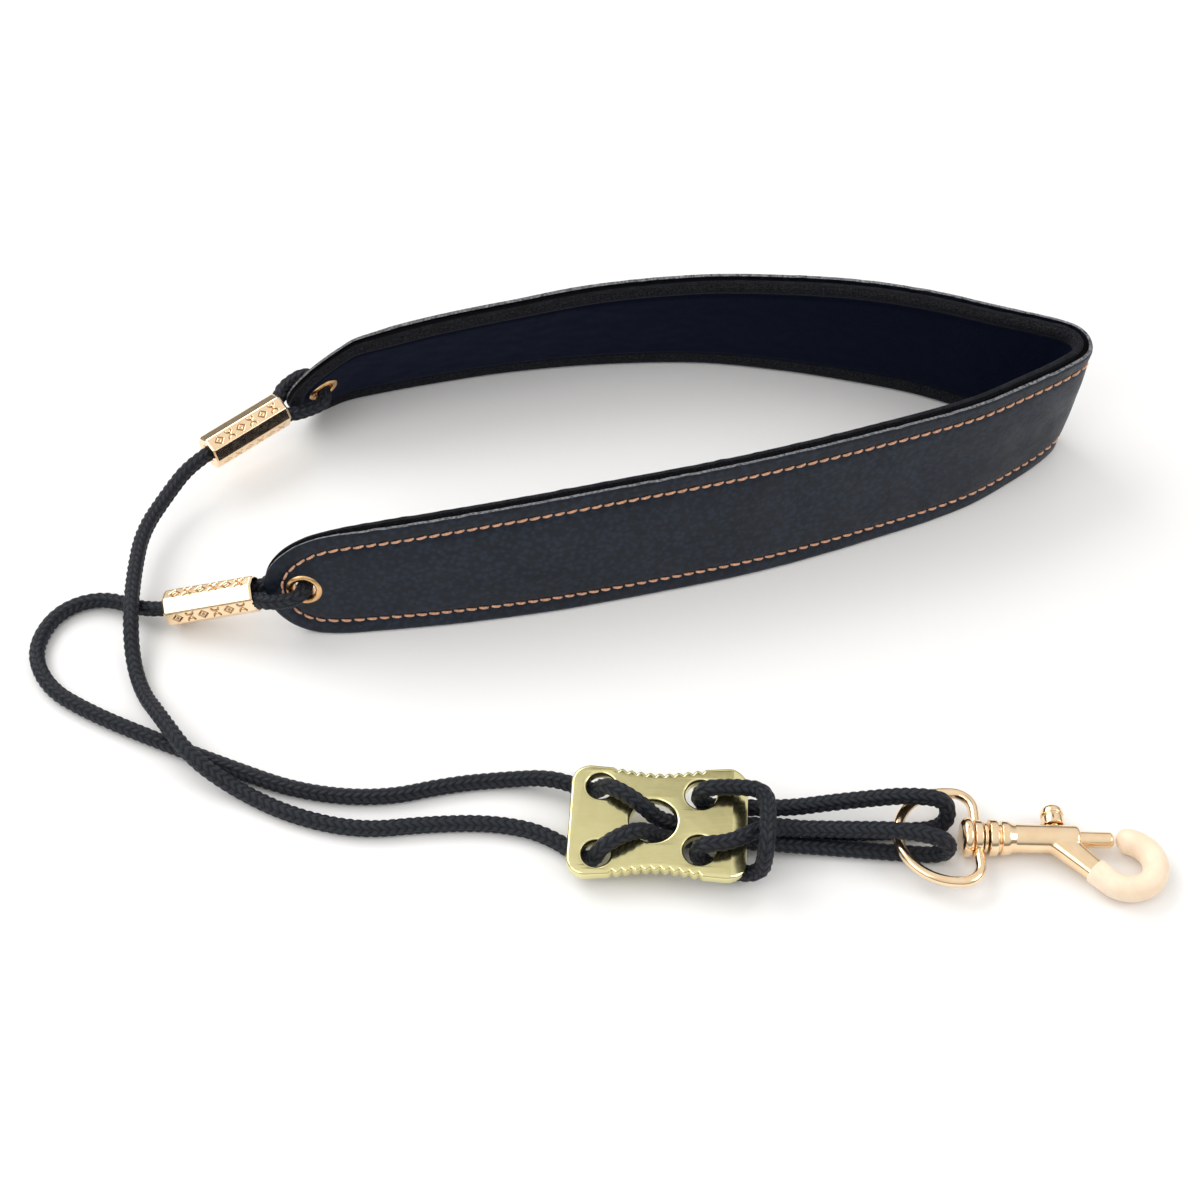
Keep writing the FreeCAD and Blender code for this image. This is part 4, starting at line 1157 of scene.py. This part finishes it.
def make_plate():
    """The plate with rolled hole rims, eased edges and a wide bevel at the hook end."""
    place = TABLE @ PLATE
    back = place.inverted()
    plate = add_mesh("adjuster_plate_body", *plate_blank(), PALE_GOLD, place)
    with edited(plate) as bm:
        bmesh.ops.remove_doubles(bm, verts=bm.verts, dist=1e-7)
        bmesh.ops.bisect_plane(bm, geom=bm.verts[:] + bm.edges[:] + bm.faces[:], dist=1e-7,
                               plane_co=(place @ Vector((BEVEL_START, 0, 0))) * MM,
                               plane_no=(place.to_3x3() @ Vector((1, 0, 0))))
        for vert in bm.verts:
            local = back @ (vert.co / MM)
            if local.x > BEVEL_START and local.z > 0:
                local.z -= (local.x - BEVEL_START) * BEVEL_SLOPE * local.z / (PLATE_THICK / 2)
                vert.co = (place @ local) * MM
        bmesh.ops.recalc_face_normals(bm, faces=bm.faces)
    plate.data.set_sharp_from_angle(angle=math.radians(18))
    weighted = plate.modifiers.new("flat_faces", "WEIGHTED_NORMAL")
    weighted.weight = 100
    weighted.keep_sharp = True
    apply_modifiers(plate)
    put(plate, "adjuster", "adjuster_plate")


make_plate()


# -------- D-ring and swivel

def hook_part(name, body, node, corners, place=HOOK, around=72):
    """A turned piece of the ring, the hook or its bolt."""
    put(lathe(name, corners, ROSE_GOLD, place, around), body, node)


RING_BAR = 4.0
RING_HALF = 13.1
RING_CORNER = 5.0
RING_DEPTH = 19.2
RING_WIRE = 1.3


def arc(x, y, radius, start, end, count):
    """Points of an arc in the ring's plane."""
    return [(x + radius * math.cos(a), y + radius * math.sin(a), 0.0)
            for a in np.linspace(start, end, count)]


def make_ring(around=40):
    """D-ring wire with a flattened, pierced boss on its bar."""
    right = math.pi / 2
    x, y = RING_BAR - RING_CORNER, RING_HALF - RING_CORNER
    path = [(RING_BAR, place, 0.0) for place in np.linspace(0.0, y, 12)]
    path += arc(x, y, RING_CORNER, 0, right, 18)[1:]
    path += arc(RING_BAR - RING_DEPTH + RING_HALF, 0.0, RING_HALF, right, 3 * right, 90)
    path += arc(x, -y, RING_CORNER, -right, 0, 18)
    path += [(RING_BAR, place, 0.0) for place in np.linspace(-y, 0.0, 12)[1:-1]]
    points = np.array(path)
    tangents = np.roll(points, -1, axis=0) - np.roll(points, 1, axis=0)
    tangents /= np.linalg.norm(tangents, axis=1)[:, None]
    ups = np.zeros_like(points) + (0.0, 0.0, 1.0)
    angles = circle(around)[None]
    verts = rings(points, np.cross(tangents, ups), ups, RING_WIRE * np.cos(angles),
                  RING_WIRE * np.sin(angles))
    faces = grid_faces(len(points), around, close_rows=True)
    wire = tidy(add_mesh("ring_wire", verts, faces, ROSE_GOLD, HOOK))
    put(wire, "ring", "d_ring")
    hook_part("ring_boss", "ring", None, [
        (RING_BAR - 0.95, 1.97, 0), (RING_BAR - 0.95, 4.25, 0.35),
        (RING_BAR + 0.95, 4.25, 0.35), (RING_BAR + 0.95, 1.97, 0),
    ])


make_ring()
hook_part("stud_head", "hook", "swivel_stud", [
    (0, 0, 0), (0, 3.6, 0.5), (0.5, 4.5, 0.5), (1.2, 4.8, 0.4), (2.1, 4.8, 0.3),
    (2.6, 4.45, 0.2), (2.6, 1.9, 0), (7, 1.9, 0), (7, 0, 0),
])
hook_part("swivel_collar", "hook", "swivel_washer", [
    (5.42, 1.96, 0), (5.42, 3.7, 0.25), (6.22, 3.7, 0.25), (6.22, 1.96, 0),
])


# -------- snap hook

HOOK_R = 7.0
HOOK_CENTRE = Vector((39.2, -7.1))
ARM_ROOT = Vector((24.6, -1.8))
HOOK_TIP_ANGLE = math.radians(461.0)
BARREL_R = 3.5
BARREL_END = 28.6
BOLT_BORE = 2.06
KNOB_PLACE = 23.1
BOLT_TRAVEL = 6.5
SLOT_HALF = 1.45
COVER_R = 3.15
COVER_NOSE = 2.6
CORE_SET_BACK = 3.4
COVER_SET_BACK = 4.2
SPRING_START = 11.5
SPRING_END = 21.5
SPRING_TURNS = 8


def on_hook(angle):
    """A point of the round end's centre line."""
    return HOOK_CENTRE + Vector((math.cos(angle), math.sin(angle))) * HOOK_R


def hook_line():
    """The hook's centre line, a straight arm and then a round end, and the arm's length."""
    away = ARM_ROOT - HOOK_CENTRE
    touch = (math.atan2(away.y, away.x) % (2 * math.pi)) + math.acos(HOOK_R / away.length)
    arm = [ARM_ROOT.lerp(on_hook(touch), t) for t in np.linspace(0, 1, 30)]
    bend = [on_hook(a) for a in np.linspace(touch, HOOK_TIP_ANGLE, 90)[1:]]
    line = np.array([(p.x, p.y, 0.0) for p in arm + bend])
    return line, (on_hook(touch) - ARM_ROOT).length


def bar(name, path, width, thick, material, around, bulge=1.0):
    """A closed bar along a path; a bulge under 1 fills out its oval section."""
    across, upward = (np.sign(turn) * np.abs(turn) ** bulge
                      for turn in (np.cos(circle(around)), np.sin(circle(around))))
    verts = rings(path, *sweep_frames(path), width[:, None] * across, thick[:, None] * upward)
    faces = grid_faces(len(path), around) + end_faces(len(path), around)
    return tidy(add_mesh(name, verts, faces, material, HOOK), 40)


def slot_cutter():
    """A capsule-shaped bar that cuts the knob's slot through one wall of the barrel."""
    outline = []
    for x, sign in ((KNOB_PLACE, 1), (KNOB_PLACE - BOLT_TRAVEL, -1)):
        outline += [(x + sign * SLOT_HALF * math.cos(a), sign * SLOT_HALF * math.sin(a))
                    for a in np.linspace(-math.pi / 2, math.pi / 2, 14)]
    points = [(x, 1.0, z) for x, z in outline] + [(x, 6.0, z) for x, z in outline]
    n = len(outline)
    faces = grid_faces(2, n) + end_faces(2, n)
    return tidy(add_mesh("slot_cutter", points, faces, ROSE_GOLD, HOOK))


def make_hook_body(steps=40):
    """The hook's casting: a grooved neck, then a barrel and arm melted into one another."""
    hook_part("hook_neck", "hook", None, [
        (6.6, 1.96, 0), (6.6, 4.5, 0.45), (8.7, 4.5, 0.4), (8.9, 3.5, 0.2), (9.4, 3.5, 0.2),
        (9.6, 4.2, 0.35), (11.2, 4.2, 0.4), (12.6, 3.62, 0.6), (13.6, 3.3, 0), (13.6, 1.96, 0),
    ], around=96)
    barrel = lathe("hook_barrel", [
        (11.3, 0, 0), (11.3, 3.4, 0), (12.4, BARREL_R, 0.3), (BARREL_END, BARREL_R, 1),
        (BARREL_END, 0, 0),
    ], ROSE_GOLD, HOOK, 96)
    line, arm = hook_line()
    away = (line[10] - line[0]) / np.linalg.norm(line[10] - line[0])
    path = line[0] + away * np.linspace(-2.2, arm - CORE_SET_BACK, steps)[:, None]
    share = np.linspace(0, 1, steps)
    arm_body = bar("hook_arm", path, 3.6 - 0.9 * share ** 0.8, 2.9 - 0.75 * share, ROSE_GOLD,
                   48, 0.82)
    body = joined("hook_casting", [barrel, arm_body])
    remesh = body.modifiers.new("melt", "REMESH")
    remesh.mode = "VOXEL"
    remesh.voxel_size = 0.17 * MM
    smooth = body.modifiers.new("smooth", "SMOOTH")
    smooth.iterations = 14
    smooth.factor = 0.5
    apply_modifiers(body)
    body.data.shade_smooth()
    cut(body, slot_cutter())
    cut(body, lathe("bore_cutter", [(11.2, 0, 0), (11.2, BOLT_BORE, 0), (33, BOLT_BORE, 0),
                                    (33, 0, 0)], ROSE_GOLD, HOOK, 48))
    body.data.set_sharp_from_angle(angle=math.radians(40))
    put(body, "hook", "hook_body")


def make_hook_cover():
    """The plastic sleeve: a thicker cuff where it starts and a rounded nose at its tip."""
    line, arm = hook_line()
    travel = travelled(line)
    start = arm - COVER_SET_BACK
    total = travel[-1] - start
    nose = 1 - np.sin(np.linspace(0, math.pi / 2, 15))[:-1]
    places = np.concatenate([np.linspace(0, 1.2, 10),
                             np.linspace(1.4, total - COVER_NOSE - 0.3, 80),
                             total - COVER_NOSE * nose, [total - 0.01]])
    into_nose = np.clip((places - (total - COVER_NOSE)) / COVER_NOSE, 0, 1)
    radii = COVER_R * np.sqrt(np.maximum(0.02, 1 - into_nose ** 2))
    radii *= 0.92 + 0.08 * np.clip(places / 0.35, 0, 1) ** 0.5
    radii *= 1.0 + 0.03 * hump(places, 1.2, 1.0)
    cover = bar("hook_sleeve", at_distance(places + start, travel, line), radii, radii, COVER, 56)
    put(cover, "hook", "hook_cover")


def make_bolt():
    hook_part("bolt_rod", "bolt", "snap_bolt", [
        (20.6, 0, 0), (20.6, 1, 0.1), (21.8, 1, 0), (21.8, 2, 0.2), (36.3, 2, 0.3),
        (37.1, 1.3, 0.4), (37.1, 0, 0),
    ])
    base = BARREL_R + 0.18
    hook_part("knob_cap", "bolt", "thumb_knob", [
        (1.9, 0, 0), (1.9, 1.29, 0), (base, 1.29, 0.1), (base, 2.65, 0.25),
        (base + 2.2, 2.85, 0.3), (base + 2.5, 2.35, 0.12), (base + 2.8, 2.35, 0.12),
        (base + 3, 2.85, 0.3), (base + 4.4, 2.8, 0.5), (base + 5.4, 2, 0.7),
        (base + 5.95, 0.9, 0.5), (base + 6, 0, 0),
    ], HOOK @ Matrix.Translation((KNOB_PLACE, 0, 0)) @ Matrix.Rotation(math.pi / 2, 4, "Z"))


def make_spring():
    """The bolt's return spring, a fixed coil of wire; the real one closes up when the bolt is
    drawn back.
    """
    angles = np.linspace(0, 2 * math.pi * SPRING_TURNS, SPRING_TURNS * 28)
    path = np.stack([np.linspace(SPRING_START, SPRING_END, len(angles)), 1.5 * np.cos(angles),
                     1.5 * np.sin(angles)], axis=1)
    wire = np.full(len(path), 0.2)
    spring = bar("return_spring", path, wire, wire, STEEL, 10)
    put(spring, "hook", "bolt_spring")
    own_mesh(spring)


make_hook_body()
make_hook_cover()
make_bolt()
make_spring()
